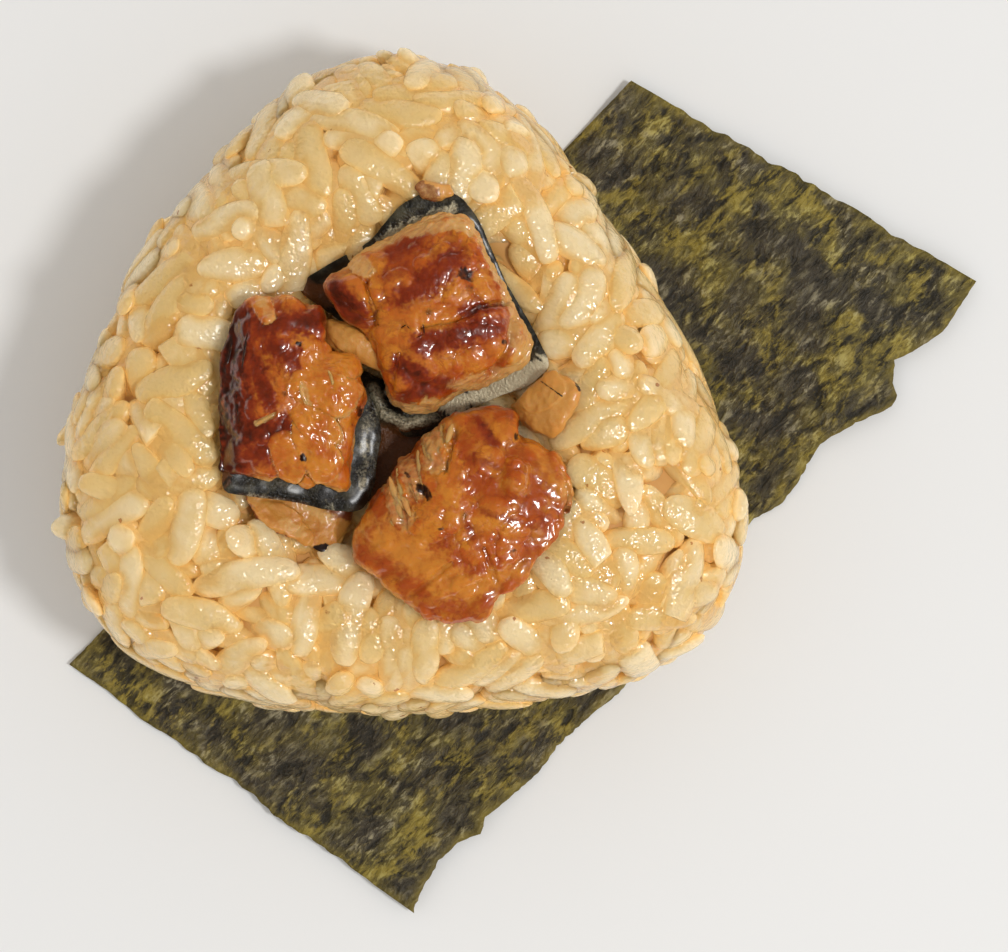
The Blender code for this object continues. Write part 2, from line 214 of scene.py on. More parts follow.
# %% [markdown]
# ## Light
#
# Food shines, so the light is half of its look. One soft box stands at the right and a
# little in front, rather high: it leaves the left wall of the ball in shade and lays a row
# of small highlights along each wet grain. A pale surround fills the shade, but isn't
# mirrored: a wet black skin that mirrors it looks grey, and red glaze looks pink.

# %% Light
KEY_AZIMUTH = math.radians(-14)
KEY_ELEVATION = math.radians(58)
KEY_DISTANCE = 1.6
KEY_SIZE = 0.29
KEY_POWER = 10.6
FILL_COLOUR = np.array((1.0, 0.98, 0.96))
FILL_STRENGTH = 1.0
FILL_BY_HEIGHT = ((0.0, 1.0), (0.5, 0.9), (0.8, 0.6), (1.0, 0.3))


def toward(azimuth, elevation):
    """The unit vector that points to a compass direction and a height above the horizon."""
    return Vector((
        math.cos(elevation) * math.cos(azimuth),
        math.cos(elevation) * math.sin(azimuth),
        math.sin(elevation),
    ))


def add_soft_box(name, azimuth, elevation, size, power):
    lamp = bpy.data.lights.new(name, "AREA")
    lamp.shape = "DISK"
    lamp.size = size
    lamp.energy = power
    box = bpy.data.objects.new(name, lamp)
    way = toward(azimuth, elevation)
    box.location = way * KEY_DISTANCE
    box.rotation_euler = way.to_track_quat("Z", "Y").to_euler()
    bpy.context.scene.collection.objects.link(box)


add_soft_box("key_light", KEY_AZIMUTH, KEY_ELEVATION, KEY_SIZE, KEY_POWER)
surround = bpy.data.worlds.new("surround")
surround.use_nodes = True
dome = Nodes(surround.node_tree)
backdrop = dome.tree.nodes["Background"]
skyward = dome.node("SeparateXYZ", None, {0: dome.node("TexCoord", output="Generated")}, output="Z")
stops = [(height, tuple(FILL_COLOUR * share)) for height, share in FILL_BY_HEIGHT]
dome.feed(backdrop.inputs["Color"], dome.node("ValToRGB", {"stops": stops}, {"Fac": skyward}))
backdrop.inputs["Strength"].default_value = FILL_STRENGTH
surround.cycles_visibility.glossy = False
bpy.context.scene.world = surround
bpy.context.scene.view_settings.view_transform = "Standard"
print("key light at", round(math.degrees(KEY_ELEVATION)), "degrees over the horizon")

# %% [markdown]
# ## Floor
#
# The floor is a plain pale sheet, which belongs to the studio and not to the part. It is
# the first mesh, so the helper that makes all of them comes with it. It fills a mesh from
# whole arrays, which is far quicker than adding the points one by one.

# %% Floor
FLOOR_SIZE = 4.0
FLOOR_DROP = 0.05 * MM
FLOOR_GREYS = (0.80, 0.80, 0.79), (0.84, 0.84, 0.83)
FLOOR_CLOUDS = 0.35


def piece_of(name, vertices, faces, finish, smooth=True):
    """A mesh object from lists of points and faces, with one finish."""
    mesh = bpy.data.meshes.new(name)
    vertices = np.ascontiguousarray(vertices, np.float32)
    faces = np.ascontiguousarray(faces, np.int32)
    corners = faces.shape[1]
    mesh.vertices.add(len(vertices))
    mesh.vertices.foreach_set("co", vertices.ravel())
    mesh.loops.add(faces.size)
    mesh.loops.foreach_set("vertex_index", faces.ravel())
    mesh.polygons.add(len(faces))
    mesh.polygons.foreach_set("loop_start", np.arange(0, faces.size, corners))
    mesh.update(calc_edges=True)
    mesh.validate()
    mesh.polygons.foreach_set("use_smooth", np.full(len(mesh.polygons), smooth))
    mesh.materials.append(finish.material)
    made = bpy.data.objects.new(name, mesh)
    bpy.context.scene.collection.objects.link(made)
    return made


def store(piece, name, values):
    """Keeps one number for each point of a mesh, for its finish to read."""
    kept = piece.data.attributes.new(name, "FLOAT", "POINT")
    kept.data.foreach_set("value", np.ascontiguousarray(values, np.float32))


floor_finish = Finish("floor_paper", Roughness=0.9)
floor_tone = floor_finish.grain(FLOOR_CLOUDS, detail=1.0)
floor_finish.drive("Base Color", floor_finish.blend(*FLOOR_GREYS, floor_tone))
half = FLOOR_SIZE / 2
floor_corners = [(x * half, y * half, -FLOOR_DROP) for x, y in ((-1, -1), (1, -1), (1, 1), (-1, 1))]
floor = piece_of("floor", floor_corners, [(0, 1, 2, 3)], floor_finish, smooth=False)
print("floor", FLOOR_SIZE, "m wide")

# %% [markdown]
# ## The shape of the ball
#
# The ball is a rounded triangle, pressed by hand, with a dimple in its upper face. Its
# surface is the same formula as in the part's source: a sphere whose directions are led to
# a superellipse between the outline, the crown and the base. Here it is only a guide: the
# grains are laid on it, so it is worked out for whole arrays of points at once.

# %% Ball surface
BALL_CENTRE = np.array([-15.6, 10.4]) * MM
OUTLINE_RADII = np.array([40.5, 36.4, 39.5, 45.8, 41.1, 38.9, 41.9, 47.7, 43.1, 39.5, 42.7, 48.7]) * MM
BALL_EQUATOR = 14.5 * MM
CROWN_HEIGHT = 33.0 * MM
EDGE_POWER = 3.0
BASE_OVERREACH = 1.12
CORE_BASE = 0.55 * MM
GRAIN_PROUD = 1.5 * MM
DIMPLE_CENTRE = np.array([-16.6, 10.2]) * MM
DIMPLE_REACH = np.array([28.5, 31.5]) * MM
DIMPLE_FLAT_SHARE = 0.30
DIMPLE_DEPTH = 8.5 * MM

WAVES = np.fft.rfft(OUTLINE_RADII) / len(OUTLINE_RADII)
WAVE_WEIGHTS = np.array([1, 2, 2, 2, 2, 2, 1])


def smoothstep(low, high, value):
    """0 at low, 1 at high, and smooth between them, for arrays."""
    share = np.clip((value - low) / (high - low), 0, 1)
    return share * share * (3 - 2 * share)


def outline_radius(angle):
    """The ball's radius in plan, in the direction of each angle."""
    turns = np.exp(1j * np.multiply.outer(angle, np.arange(len(WAVES))))
    return (turns * WAVES * WAVE_WEIGHTS).real.sum(-1)


def dimple_drop(x, y):
    """How far the upper face is pressed in at each place."""
    across = (x - DIMPLE_CENTRE[0]) / DIMPLE_REACH[0]
    along = (y - DIMPLE_CENTRE[1]) / DIMPLE_REACH[1]
    return DIMPLE_DEPTH * (1 - smoothstep(DIMPLE_FLAT_SHARE, 1.0, np.hypot(across, along)))


def on_core(ways):
    """Where unit directions from the ball's middle meet its surface under the grains."""
    flat = np.hypot(ways[:, 0], ways[:, 1])
    reach = (flat**EDGE_POWER + np.abs(ways[:, 2]) ** EDGE_POWER) ** (-1 / EDGE_POWER)
    radius = (outline_radius(np.arctan2(ways[:, 1], ways[:, 0])) - GRAIN_PROUD) * reach
    x = BALL_CENTRE[0] + ways[:, 0] * radius
    y = BALL_CENTRE[1] + ways[:, 1] * radius
    rise = ways[:, 2] * reach
    above = BALL_EQUATOR + rise * (CROWN_HEIGHT - BALL_EQUATOR) - dimple_drop(x, y)
    below = BALL_EQUATOR + rise * (BALL_EQUATOR - CORE_BASE) * BASE_OVERREACH
    return np.column_stack([x, y, np.maximum(np.where(rise > 0, above, below), CORE_BASE)])


def icosphere(subdivisions):
    """The points and triangles of a unit sphere of even triangles."""
    bm = bmesh.new()
    bmesh.ops.create_icosphere(bm, subdivisions=subdivisions, radius=1.0)
    points = np.array([v.co for v in bm.verts])
    triangles = np.array([[v.index for v in f.verts] for f in bm.faces])
    bm.free()
    return points, triangles


BALL_FINENESS = 6
sphere_points, ball_triangles = icosphere(BALL_FINENESS)
ball_points = on_core(sphere_points)
ball_tree = BVHTree.FromPolygons(ball_points.tolist(), ball_triangles.tolist())
corners = ball_points[ball_triangles]
triangle_areas = np.linalg.norm(np.cross(corners[:, 1] - corners[:, 0], corners[:, 2] - corners[:, 0]), axis=1) / 2
print("ball surface", round(triangle_areas.sum() / MM**2), "square mm")

# %% [markdown]
# ## Where the eel lies
#
# Grains under a piece of eel are pressed down by it, so the outlines of the pieces are
# needed before the grains. Each is a loop of corners in plan, in millimetres. A helper
# tells how far a point lies outside such a loop, and the number is negative inside: most
# of what follows, from torn rims to sunken grains, is worked out from that distance.

# %% Outlines in plan
OUTLINES = {
    "eel_left": [
        (-24.8, 23.4), (-24.1, 21.1), (-24.2, 18.8), (-23.8, 17.0), (-20.6, 16.2), (-20.4, 14.1), (-19.5, 11.6),
        (-19.8, 10.0), (-20.9, 8.1), (-21.1, 6.4), (-21.3, 2.2), (-21.4, 0.1), (-22.5, -0.4), (-25.6, 0.9),
        (-26.5, 0.1), (-28.4, 0.9), (-30.0, 1.5), (-31.5, 0.9), (-34.9, 2.0), (-37.8, 2.1), (-37.7, 5.0),
        (-38.0, 6.9), (-37.8, 11.6), (-37.1, 17.9), (-36.1, 22.1), (-34.5, 24.3), (-32.6, 24.5), (-31.0, 24.2),
        (-29.6, 24.7), (-28.1, 24.1), (-26.5, 23.0),
    ],
    "eel_top": [
        (-24.6, 25.4), (-23.8, 26.6), (-21.5, 27.1), (-19.7, 29.2), (-17.4, 28.5), (-15.0, 30.2), (-12.2, 32.3),
        (-9.6, 33.1), (-7.4, 31.8), (-5.0, 28.7), (-2.9, 26.1), (-1.7, 22.5), (-0.6, 19.5), (-1.1, 16.9),
        (-4.2, 14.8), (-7.6, 13.4), (-9.8, 11.7), (-11.9, 11.2), (-15.0, 11.7), (-16.1, 11.7), (-16.6, 13.9),
        (-17.6, 16.0), (-18.2, 17.6), (-19.4, 19.1), (-20.4, 20.5), (-22.3, 21.4),
    ],
    "eel_right": [
        (-21.8, -5.9), (-19.8, -2.8), (-18.3, -0.4), (-16.4, 2.2), (-14.0, 4.9), (-11.8, 7.1), (-9.6, 9.0),
        (-6.3, 10.6), (-3.7, 11.0), (-1.0, 9.9), (-0.4, 8.7), (-1.5, 7.4), (1.9, 6.2), (4.7, 4.3), (5.7, 1.6),
        (6.5, -0.2), (5.6, -3.4), (4.0, -5.7), (2.1, -8.4), (0.0, -11.5), (-2.5, -13.3), (-5.0, -15.8),
        (-7.5, -16.5), (-9.6, -16.8), (-12.4, -15.3), (-15.9, -13.5), (-18.6, -10.8), (-21.1, -8.7),
    ],
    "eel_strip": [
        (-24.6, 21.4), (-21.9, 21.1), (-19.7, 20.3), (-17.6, 18.5), (-16.5, 16.7), (-16.5, 14.9),
        (-18.6, 15.2), (-20.8, 16.3), (-23.4, 16.7), (-24.5, 18.2),
    ],
    "eel_under": [
        (-35.3, -0.4), (-32.9, -4.4), (-30.8, -5.4), (-28.4, -6.2), (-25.8, -7.7), (-24.5, -8.0),
        (-22.4, -7.0), (-21.6, -4.9), (-21.2, -1.5), (-23.0, 1.5), (-33.0, 2.0),
    ],
    "eel_flake": [
        (0.6, 13.1), (3.6, 14.9), (5.6, 14.3), (7.2, 12.7), (6.8, 10.6), (5.0, 7.7), (3.5, 6.5),
        (1.0, 7.0), (-0.6, 8.4), (-2.1, 10.6),
    ],
    "eel_left_skin": [
        (-37.6, 2.6), (-37.4, -0.1), (-35.2, -0.5), (-28.4, -1.4), (-24.4, -2.4), (-20.4, -2.7), (-19.3, -1.2),
        (-18.5, 1.2), (-18.4, 3.8), (-17.7, 6.9), (-18.2, 9.8), (-19.2, 12.0), (-21.5, 15.4), (-25.6, 21.8),
        (-33.5, 23.4), (-36.8, 16.0),
    ],
    "eel_top_skin": [
        (-28.9, 25.5), (-24.0, 28.4), (-19.1, 31.1), (-15.4, 35.4), (-11.6, 37.4), (-7.9, 36.7), (-5.4, 34.0),
        (-1.7, 26.2), (1.4, 21.0), (3.6, 15.6), (0.8, 13.1), (-2.9, 11.9), (-9.2, 9.2), (-11.8, 7.0),
        (-15.2, 6.6), (-16.8, 10.0), (-17.6, 15.0), (-22.0, 20.6),
    ],
}
OUTLINES = {name: np.array(loop) * MM for name, loop in OUTLINES.items()}


def outside(points, loop):
    """How far points in plan lie outside a loop of corners, negative inside it."""
    points = np.asarray(points)[..., :2]
    nearest = np.full(points.shape[:-1], np.inf)
    inside = np.zeros(points.shape[:-1], bool)
    for start, end in zip(loop, np.roll(loop, -1, axis=0)):
        side = end - start
        share = np.clip(((points - start) @ side) / (side @ side), 0, 1)
        nearest = np.minimum(nearest, np.linalg.norm(points - start - share[..., None] * side, axis=-1))
        crosses = (start[1] > points[..., 1]) != (end[1] > points[..., 1])
        rise = side[1] if side[1] else 1.0
        inside ^= crosses & (points[..., 0] < start[0] + (points[..., 1] - start[1]) * side[0] / rise)
    return np.where(inside, -nearest, nearest)


def outside_eel(points):
    """How far points lie outside all the eel together."""
    return np.min([outside(points, loop) for loop in OUTLINES.values()], axis=0)


print("outlines", {name: len(loop) for name, loop in OUTLINES.items()})

# %% [markdown]
# ## Scattering the grains
#
# The rice is the largest thing in the picture, and every grain shows. A displaced surface
# would give lumps, not grains, and particles don't survive an export, so each grain is
# real mesh. Two layers are laid on the ball: one that forms its surface, and a deeper one
# that shows in the gaps. They start at random places, weighted by area.

# %% Scatter
GRAIN_SEED = 4
OUTER_GRAINS = 780
INNER_GRAINS = 620
GRAIN_LENGTH = 11.0 * MM
GRAIN_LENGTH_SPREAD = 0.15
GRAIN_LENGTH_LIMITS = (0.62, 1.32)
GRAIN_WIDTH = 3.5 * MM
GRAIN_WIDTH_SPREAD = 0.10
GRAIN_WIDTH_LIMITS = (0.78, 1.25)
GRAIN_HEIGHT = 2.75 * MM
GRAIN_HEIGHT_LIMITS = (0.8, 1.2)
OUTER_DEPTH = -0.15 * MM
OUTER_UNEVENNESS = 0.45 * MM
INNER_DEPTH = -1.55 * MM
EEL_PRESS = 1.6 * MM
LEAN_SPREAD = 0.2
TILTED_SHARE = 0.12
TILTED_LEAN = (0.3, 0.75)
UPRIGHT_SHARE = 0.03
UPRIGHT_LEAN = (0.8, 0.97)

draw = np.random.default_rng(GRAIN_SEED)
grain_count = OUTER_GRAINS + INNER_GRAINS
is_outer = np.arange(grain_count) < OUTER_GRAINS


def random_spots(count):
    """Points spread at random over the ball."""
    chosen = draw.choice(len(ball_triangles), count, p=triangle_areas / triangle_areas.sum())
    shares = draw.dirichlet((1, 1, 1), count)
    return (ball_points[ball_triangles[chosen]] * shares[..., None]).sum(1)


def nearest_on_ball(points):
    """The nearest points of the ball's surface, and the outward directions there."""
    found = [ball_tree.find_nearest(point) for point in points.tolist()]
    return np.array([hit[0] for hit in found]), np.array([hit[1] for hit in found])


def unit(vectors):
    return vectors / np.linalg.norm(vectors, axis=-1, keepdims=True)


def uneven(size, variation, limits):
    """One size a grain: a random share of the usual one, within limits."""
    return size * np.clip(draw.normal(1, variation, grain_count), *limits)


lengths = uneven(GRAIN_LENGTH, GRAIN_LENGTH_SPREAD, GRAIN_LENGTH_LIMITS)
widths = uneven(GRAIN_WIDTH, GRAIN_WIDTH_SPREAD, GRAIN_WIDTH_LIMITS)
heights = uneven(GRAIN_HEIGHT, GRAIN_WIDTH_SPREAD, GRAIN_HEIGHT_LIMITS)
depths = np.where(is_outer, OUTER_DEPTH, INNER_DEPTH) + draw.uniform(-1, 1, grain_count) * OUTER_UNEVENNESS
leans = np.abs(draw.normal(0, LEAN_SPREAD, grain_count))
lot = draw.random(grain_count)
leans = np.where(lot < TILTED_SHARE, draw.uniform(*TILTED_LEAN, grain_count), leans)
leans = np.where(lot < UPRIGHT_SHARE, draw.uniform(*UPRIGHT_LEAN, grain_count), leans)
centres = random_spots(grain_count)
spots, normals = nearest_on_ball(centres)
centres = spots + normals * depths[:, None]
axes = unit(np.cross(normals, draw.normal(size=(grain_count, 3))))
print("grains", grain_count, "mean length", round(lengths.mean() / MM, 2), "mm")

# %% [markdown]
# ## Letting the grains settle
#
# Grains thrown at random lie in each other. A rigid-body simulation would need minutes,
# and cooked rice isn't rigid. Instead, each grain is taken for a row of four balls, and
# balls that overlap push each other apart a little, many times over, while every grain is
# drawn back to its own depth and slope. They end up close packed and pointing every way.

# %% Settle
SETTLE_STEPS = 70
NEIGHBOUR_STEPS = 7
NEIGHBOUR_REACH = 11.5 * MM
PUSH = 0.42
SURFACE_PULL = 0.16
LEAN_PULL = 0.2
PRESSED_SHARE = 0.8
LEAST_GAP = 0.1 * MM
MOST_MOVE = 0.8 * MM
PRESS_EDGE = (0.8 * MM, -1.2 * MM)
ROW = np.array([-1.0, -1 / 3, 1 / 3, 1.0])

radii = (widths + heights) / 4
reaches = lengths / 2 - radii


def neighbours(reach):
    """All pairs of grains whose middles are within reach of each other."""
    gaps = np.linalg.norm(centres[:, None] - centres[None], axis=2)
    first, second = np.nonzero(np.triu(gaps < reach, 1))
    return first, second


def press_under_eel(points):
    """How much deeper a grain lies because eel lies on it."""
    on_top = points[:, 2] > BALL_EQUATOR
    return np.where(on_top, EEL_PRESS * smoothstep(*PRESS_EDGE, outside_eel(points)), 0)


for step in range(SETTLE_STEPS):
    if step % NEIGHBOUR_STEPS == 0:
        first, second = neighbours(NEIGHBOUR_REACH)
        pressed = press_under_eel(centres)
    rows = centres[:, None] + axes[:, None] * (reaches[:, None] * ROW)[..., None]
    apart = rows[first][:, :, None] - rows[second][:, None]
    gap = np.linalg.norm(apart, axis=3)
    wanted = PRESSED_SHARE * (radii[first] + radii[second])[:, None, None]
    push = PUSH * np.maximum(wanted - gap, 0) / np.maximum(gap, LEAST_GAP)
    move = apart * push[..., None]
    pushes = np.zeros_like(rows)
    np.add.at(pushes, first, move.sum(2))
    np.add.at(pushes, second, -move.sum(1))
    pushes = np.clip(pushes, -MOST_MOVE, MOST_MOVE)
    centres = centres + pushes.mean(1)
    axes = unit(axes + (pushes * ROW[:, None]).sum(1) / (reaches * (ROW**2).sum())[:, None])
    spots, normals = nearest_on_ball(centres)
    offset = ((centres - spots) * normals).sum(1)
    centres = centres + normals * ((depths - pressed - offset) * SURFACE_PULL)[:, None]
    slope = (axes * normals).sum(1)
    lean = np.where(slope < 0, -leans, leans)
    axes = unit(axes + normals * ((lean - slope) * LEAN_PULL)[:, None])
overlap = np.maximum(wanted - gap, 0).max((1, 2))
print("settled; mean overlap", round(overlap[overlap > 0].mean() / MM, 2), "mm")

# %% [markdown]
# ## The shape of one grain
#
# A cooked grain is a plump rod with blunt ends, a little flat, often bent, and sometimes
# broken off short. Where the germ was there is a nick at one end. One model copied a
# thousand times is seen at once, so each grain draws its own length, taper, bend, nick and
# break. They all start from the same net of rings, and numpy shapes them together.

# %% Shape the grains
RINGS = 11
SIDES = 14
PLUMPNESS = 1.2
BLUNTNESS = (2.0, 3.3)
BOXINESS = (2.05, 3.0)
TAPER = 0.17
WAVINESS = (0, 0.04)
BEND_ACROSS = 0.07
BEND_UP = 0.04
NICKED_SHARE = 0.4
NICK_PLACE, NICK_LENGTH = 0.86, 0.2
NICK_TURN, NICK_WIDTH = 0.3, 0.75
BROKEN_SHARE = 0.2
BREAK_PLACE = (0.16, 0.40)
BREAK_SOFTNESS = 0.35 * MM
ROLL_SPREAD = 0.3

ring_angles = np.linspace(0, math.pi, RINGS + 2)[1:-1]
side_angles = np.arange(SIDES) * 2 * math.pi / SIDES
net = [(-1.0, 0.0, 0.0)]
net += [
    (-math.cos(ring), math.sin(ring) * math.cos(side), math.sin(ring) * math.sin(side))
    for ring in ring_angles for side in side_angles
]
net = np.array([*net, (1.0, 0.0, 0.0)])


def net_faces(rings=RINGS, sides=SIDES):
    """The triangles that join a net's two tips and its rings."""
    last = 1 + rings * sides
    faces = []
    for side in range(sides):
        after = (side + 1) % sides
        faces.append((0, 1 + after, 1 + side))
        for ring in range(rings - 1):
            a, b = 1 + ring * sides + side, 1 + ring * sides + after
            faces += [(a, b, b + sides), (a, b + sides, a + sides)]
        faces.append((last, last - sides + side, last - sides + after))
    return np.array(faces)


def spread(low, high):
    """One random number a grain, as a column."""
    return draw.uniform(low, high, (grain_count, 1))


def either_way(most):
    return spread(-most, most)


def shaped_grains():
    """Every grain's points, along its own length, width and height."""
    long, wide, high = lengths[:, None], widths[:, None], heights[:, None]
    along = net[:, 0][None]
    blunt = spread(*BLUNTNESS)
    full = (1 - np.minimum(np.abs(along), 0.9999) ** blunt) ** (1 / blunt)
    full = full * (1 + either_way(TAPER) * along)
    turn = np.arctan2(net[:, 2], net[:, 1])[None]
    boxy = spread(*BOXINESS)
    section = (np.abs(np.cos(turn)) ** boxy + np.abs(np.sin(turn)) ** boxy) ** (-1 / boxy)
    waist = 1 + spread(*WAVINESS) * np.cos(along * 5 + spread(0, 6))
    waist = waist + spread(*WAVINESS) * np.cos(turn * 2 + along * 3 + spread(0, 6))
    tip = (np.hypot(net[:, 1], net[:, 2]) > 0)[None]
    x = along * long / 2
    y = np.cos(turn) * full * section * waist * wide * PLUMPNESS / 2 * tip
    z = np.sin(turn) * full * section * waist * high * PLUMPNESS / 2 * tip
    nicked = draw.random((grain_count, 1)) < NICKED_SHARE
    nick = np.exp(-((along - NICK_PLACE) / NICK_LENGTH) ** 2 - ((turn - NICK_TURN) / NICK_WIDTH) ** 2)
    y = y * (1 - 0.42 * nick * nicked)
    z = z * (1 - 0.3 * nick * nicked)
    y = y + either_way(BEND_ACROSS) * long * (along**2 - 0.35)
    z = z + either_way(BEND_UP) * long * (along**2 - 0.35)
    broken = draw.random((grain_count, 1)) < BROKEN_SHARE
    cut = long * spread(*BREAK_PLACE) + y * either_way(0.5) + z * either_way(0.3)
    cut = np.where(broken, cut, long)
    past = x - cut + BREAK_SOFTNESS
    x = np.where(past > 0, cut - BREAK_SOFTNESS + BREAK_SOFTNESS * np.tanh(past / BREAK_SOFTNESS), x)
    return np.stack([x, y, z], axis=2)


roll = draw.normal(0, ROLL_SPREAD, grain_count)
sides = unit(np.cross(normals + 0.02, axes))
tops = np.cross(axes, sides)
level_share, rolled_share = np.cos(roll)[:, None], np.sin(roll)[:, None]
sides, tops = sides * level_share + tops * rolled_share, tops * level_share - sides * rolled_share
shapes = shaped_grains()
grain_points = (
    centres[:, None]
    + shapes[..., :1] * axes[:, None]
    + shapes[..., 1:2] * sides[:, None]
    + shapes[..., 2:] * tops[:, None]
)
print("net of", len(net), "points and", len(net_faces()), "triangles")

# %% [markdown]
# ## Where grains meet
#
# Pressed by hand, the grains stick to each other and share soft creases. They are left to
# run into each other: where two round backs meet, the eye reads a crease. How near the next
# grain is, is kept at every point, because the finish paints amber shade into the creases.
# The hand also pressed the face even, so all that stands proud of it is pushed in a little,
# and nothing goes below the sheet of nori.

# %% Creases
FACE_RISE = 0.6 * MM
FACE_GIVE = 0.42
FAR_FROM_GRAINS = 3 * MM
BASE_HEIGHT = 0.5 * MM
REST_SOFTNESS = 0.5 * MM


def to_row(points, grains):
    """From each point to the nearest point of the middle line of its grain, or grains."""
    from_middle = points - centres[grains]
    reach = reaches[grains][..., None]
    share = np.clip((from_middle * axes[grains]).sum(-1, keepdims=True), -reach, reach)
    return share * axes[grains] - from_middle


first, second = neighbours(NEIGHBOUR_REACH)
nearby = [[] for _ in range(grain_count)]
for one, other in zip(first, second):
    nearby[one].append(other)
    nearby[other].append(one)
next_grain = np.full(grain_points.shape[:2], FAR_FROM_GRAINS)
for grain, others in enumerate(nearby):
    if others:
        others = np.array(others)
        across = to_row(grain_points[grain][:, None], others[None])
        spaces = np.linalg.norm(across, axis=2) - radii[others] * PLUMPNESS
        next_grain[grain] = np.clip(spaces.min(1), 0, FAR_FROM_GRAINS)
flat_points = grain_points.reshape(-1, 3)
spots, outward = nearest_on_ball(flat_points)
rise = ((flat_points - spots) * outward).sum(1)
flattened = np.maximum(rise - FACE_RISE, 0) * (FACE_GIVE - 1)
grain_points += (outward * flattened[:, None]).reshape(grain_points.shape)
low = BASE_HEIGHT - grain_points[..., 2]
grain_points[..., 2] += np.where(low > -REST_SOFTNESS, (low + REST_SOFTNESS) ** 2 / (4 * REST_SOFTNESS), 0)
grain_points[..., 2] = np.maximum(grain_points[..., 2], BASE_HEIGHT)
print("share of points in a crease", round(float((next_grain < 0.3 * MM).mean()), 2))

# %% [markdown]
# ## The finish of cooked rice
#
# A cooked grain is milky: light soaks in and comes out a few millimetres on, and that makes
# it glow. Amber is painted into the creases and the gaps between grains: painted shade, and
# the painted glow of light through the grains there. Fine pores break up the shine of the
# wet film, so that a grain carries a cluster of small lights and not one large one.

# %% Rice finish
def rice_finish(name):
    """Moist cooked rice: cream that glows, painted amber shade in the creases and gaps, and brown specks."""
    rice = Finish(
        name, Subsurface_Weight=1.0, Subsurface_Scale=3.0 * MM, Subsurface_Radius=(1.0, 0.8, 0.55),
        Specular_IOR_Level=1.0,
    )
    rice.shader.subsurface_method = "BURLEY"
    cream, ivory, honey, amber, brown = paints(
        (228, 197, 138), (236, 212, 164), (220, 181, 110), (212, 152, 72), (158, 88, 34)
    )
    tone = rice.stored("tone")
    patches = rice.grain(2.2 * MM, detail=2.0)
    base = rice.blend(cream, ivory, rice.step(tone + patches * 0.8, 0.62, 1.15))
    base = rice.blend(base, honey, rice.step(rice.grain(9 * MM) - tone * 0.3, 0.3, 0.55) * 0.45)
    rim = 1 - rice.step(rice.stored("next_grain"), 0.0, 1.3)
    base = rice.blend(base, honey, rim * 0.75)
    # Painted shade: amber darkens the creases next to other grains and the deeper grains in the gaps, standing in for
    # shade and for light glowing through the grains.
    painted_crease_shade = 1 - rice.step(rice.stored("next_grain"), 0.0, 0.4)
    deep = rice.step(rice.stored("deep"), 1.1, 3.6)
    base = rice.blend(base, amber, painted_crease_shade * 0.35)
    base = rice.blend(base, amber, deep * 0.8)
    specks = 1 - rice.step(rice.cells(4.4 * MM) + rice.grain(0.8 * MM, detail=2.0) * 0.45, 0.23, 0.28)
    base = rice.blend(base, brown, specks * 0.8)
    rice.drive("Base Color", base)
    pores = rice.grain(0.6 * MM, detail=1.5, roughness=0.5)
    waves = rice.grain(1.6 * MM, detail=1.0)
    rice.drive("Roughness", 0.08 + rice.step(patches, 0.35, 0.65) * 0.12)
    rice.relief(pores + waves * 1.2, 0.25 * MM)
    return rice


rice = rice_finish("moist_rice")
print("rice finish of", len(rice.tree.nodes), "nodes")

# %% [markdown]
# ## Three pieces of rice
#
# Before export, a piece should stay under 200,000 triangles, so the grains are parted by
# where they lie: on the upper face, on the wall and on the base. Light that soaks into one
# grain comes out of the next, but only within one piece, so each piece has both layers.

# %% Rice pieces
UPPER_FACE = 0.3
UNDERSIDE = -0.5


def below_surface(points):
    """How deep points lie under the ball's outer surface."""
    spots, normals = nearest_on_ball(points)
    return GRAIN_PROUD - ((points - spots) * normals).sum(1)


def rice_piece(name, chosen, finish):
    """One object from the chosen grains, with what its finish reads."""
    chosen = np.flatnonzero(chosen)
    faces = net_faces()
    stacked = (faces[None] + np.arange(len(chosen))[:, None, None] * len(net)).reshape(-1, 3)
    points = grain_points[chosen].reshape(-1, 3)
    piece = piece_of(name, points, stacked, finish)
    store(piece, "tone", np.repeat(tones[chosen], len(net)))
    store(piece, "next_grain", next_grain[chosen].ravel() / MM)
    store(piece, "deep", below_surface(points) / MM)
    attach(piece, "root")
    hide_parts("rice_ball")
    print(name, len(chosen), "grains", len(stacked), "triangles")


tones = draw.random(grain_count)
_, outward = nearest_on_ball(centres)
facing_up = outward[:, 2]
rice_piece("rice_top", facing_up > UPPER_FACE, rice)
rice_piece("rice_wall", (facing_up <= UPPER_FACE) & (facing_up > UNDERSIDE), rice)
rice_piece("rice_base", facing_up <= UNDERSIDE, rice)

# %% [markdown]
# ## The core behind the grains
#
# Two layers of grains still leave gaps, so a bare core closes the ball behind them. It is
# the ball's own surface, set deeper and made lumpy by noise, in amber that is painted shade
# in the gaps and the painted glow of light through the grains. With the three pieces of
# grains it stands for the one solid ball.

# %% Rice core
CORE_DEPTH = 0.75 * MM
CORE_LUMP = 3.6 * MM
CORE_LUMPS = 0.9 * MM


def outward_normals(points, triangles):
    """The outward direction at every point of a closed mesh."""
    corners = points[triangles]
    facing = np.cross(corners[:, 1] - corners[:, 0], corners[:, 2] - corners[:, 0])
    normals = np.zeros_like(points)
    for corner in range(3):
        np.add.at(normals, triangles[:, corner], facing)
    return unit(normals)


def bumps(points, size, seed=0.0):
    """Smooth noise from -1 to 1 at each point, with features of one size."""
    return np.array([noise.noise(Vector(point) / size + Vector((seed, seed, seed))) for point in points.tolist()])
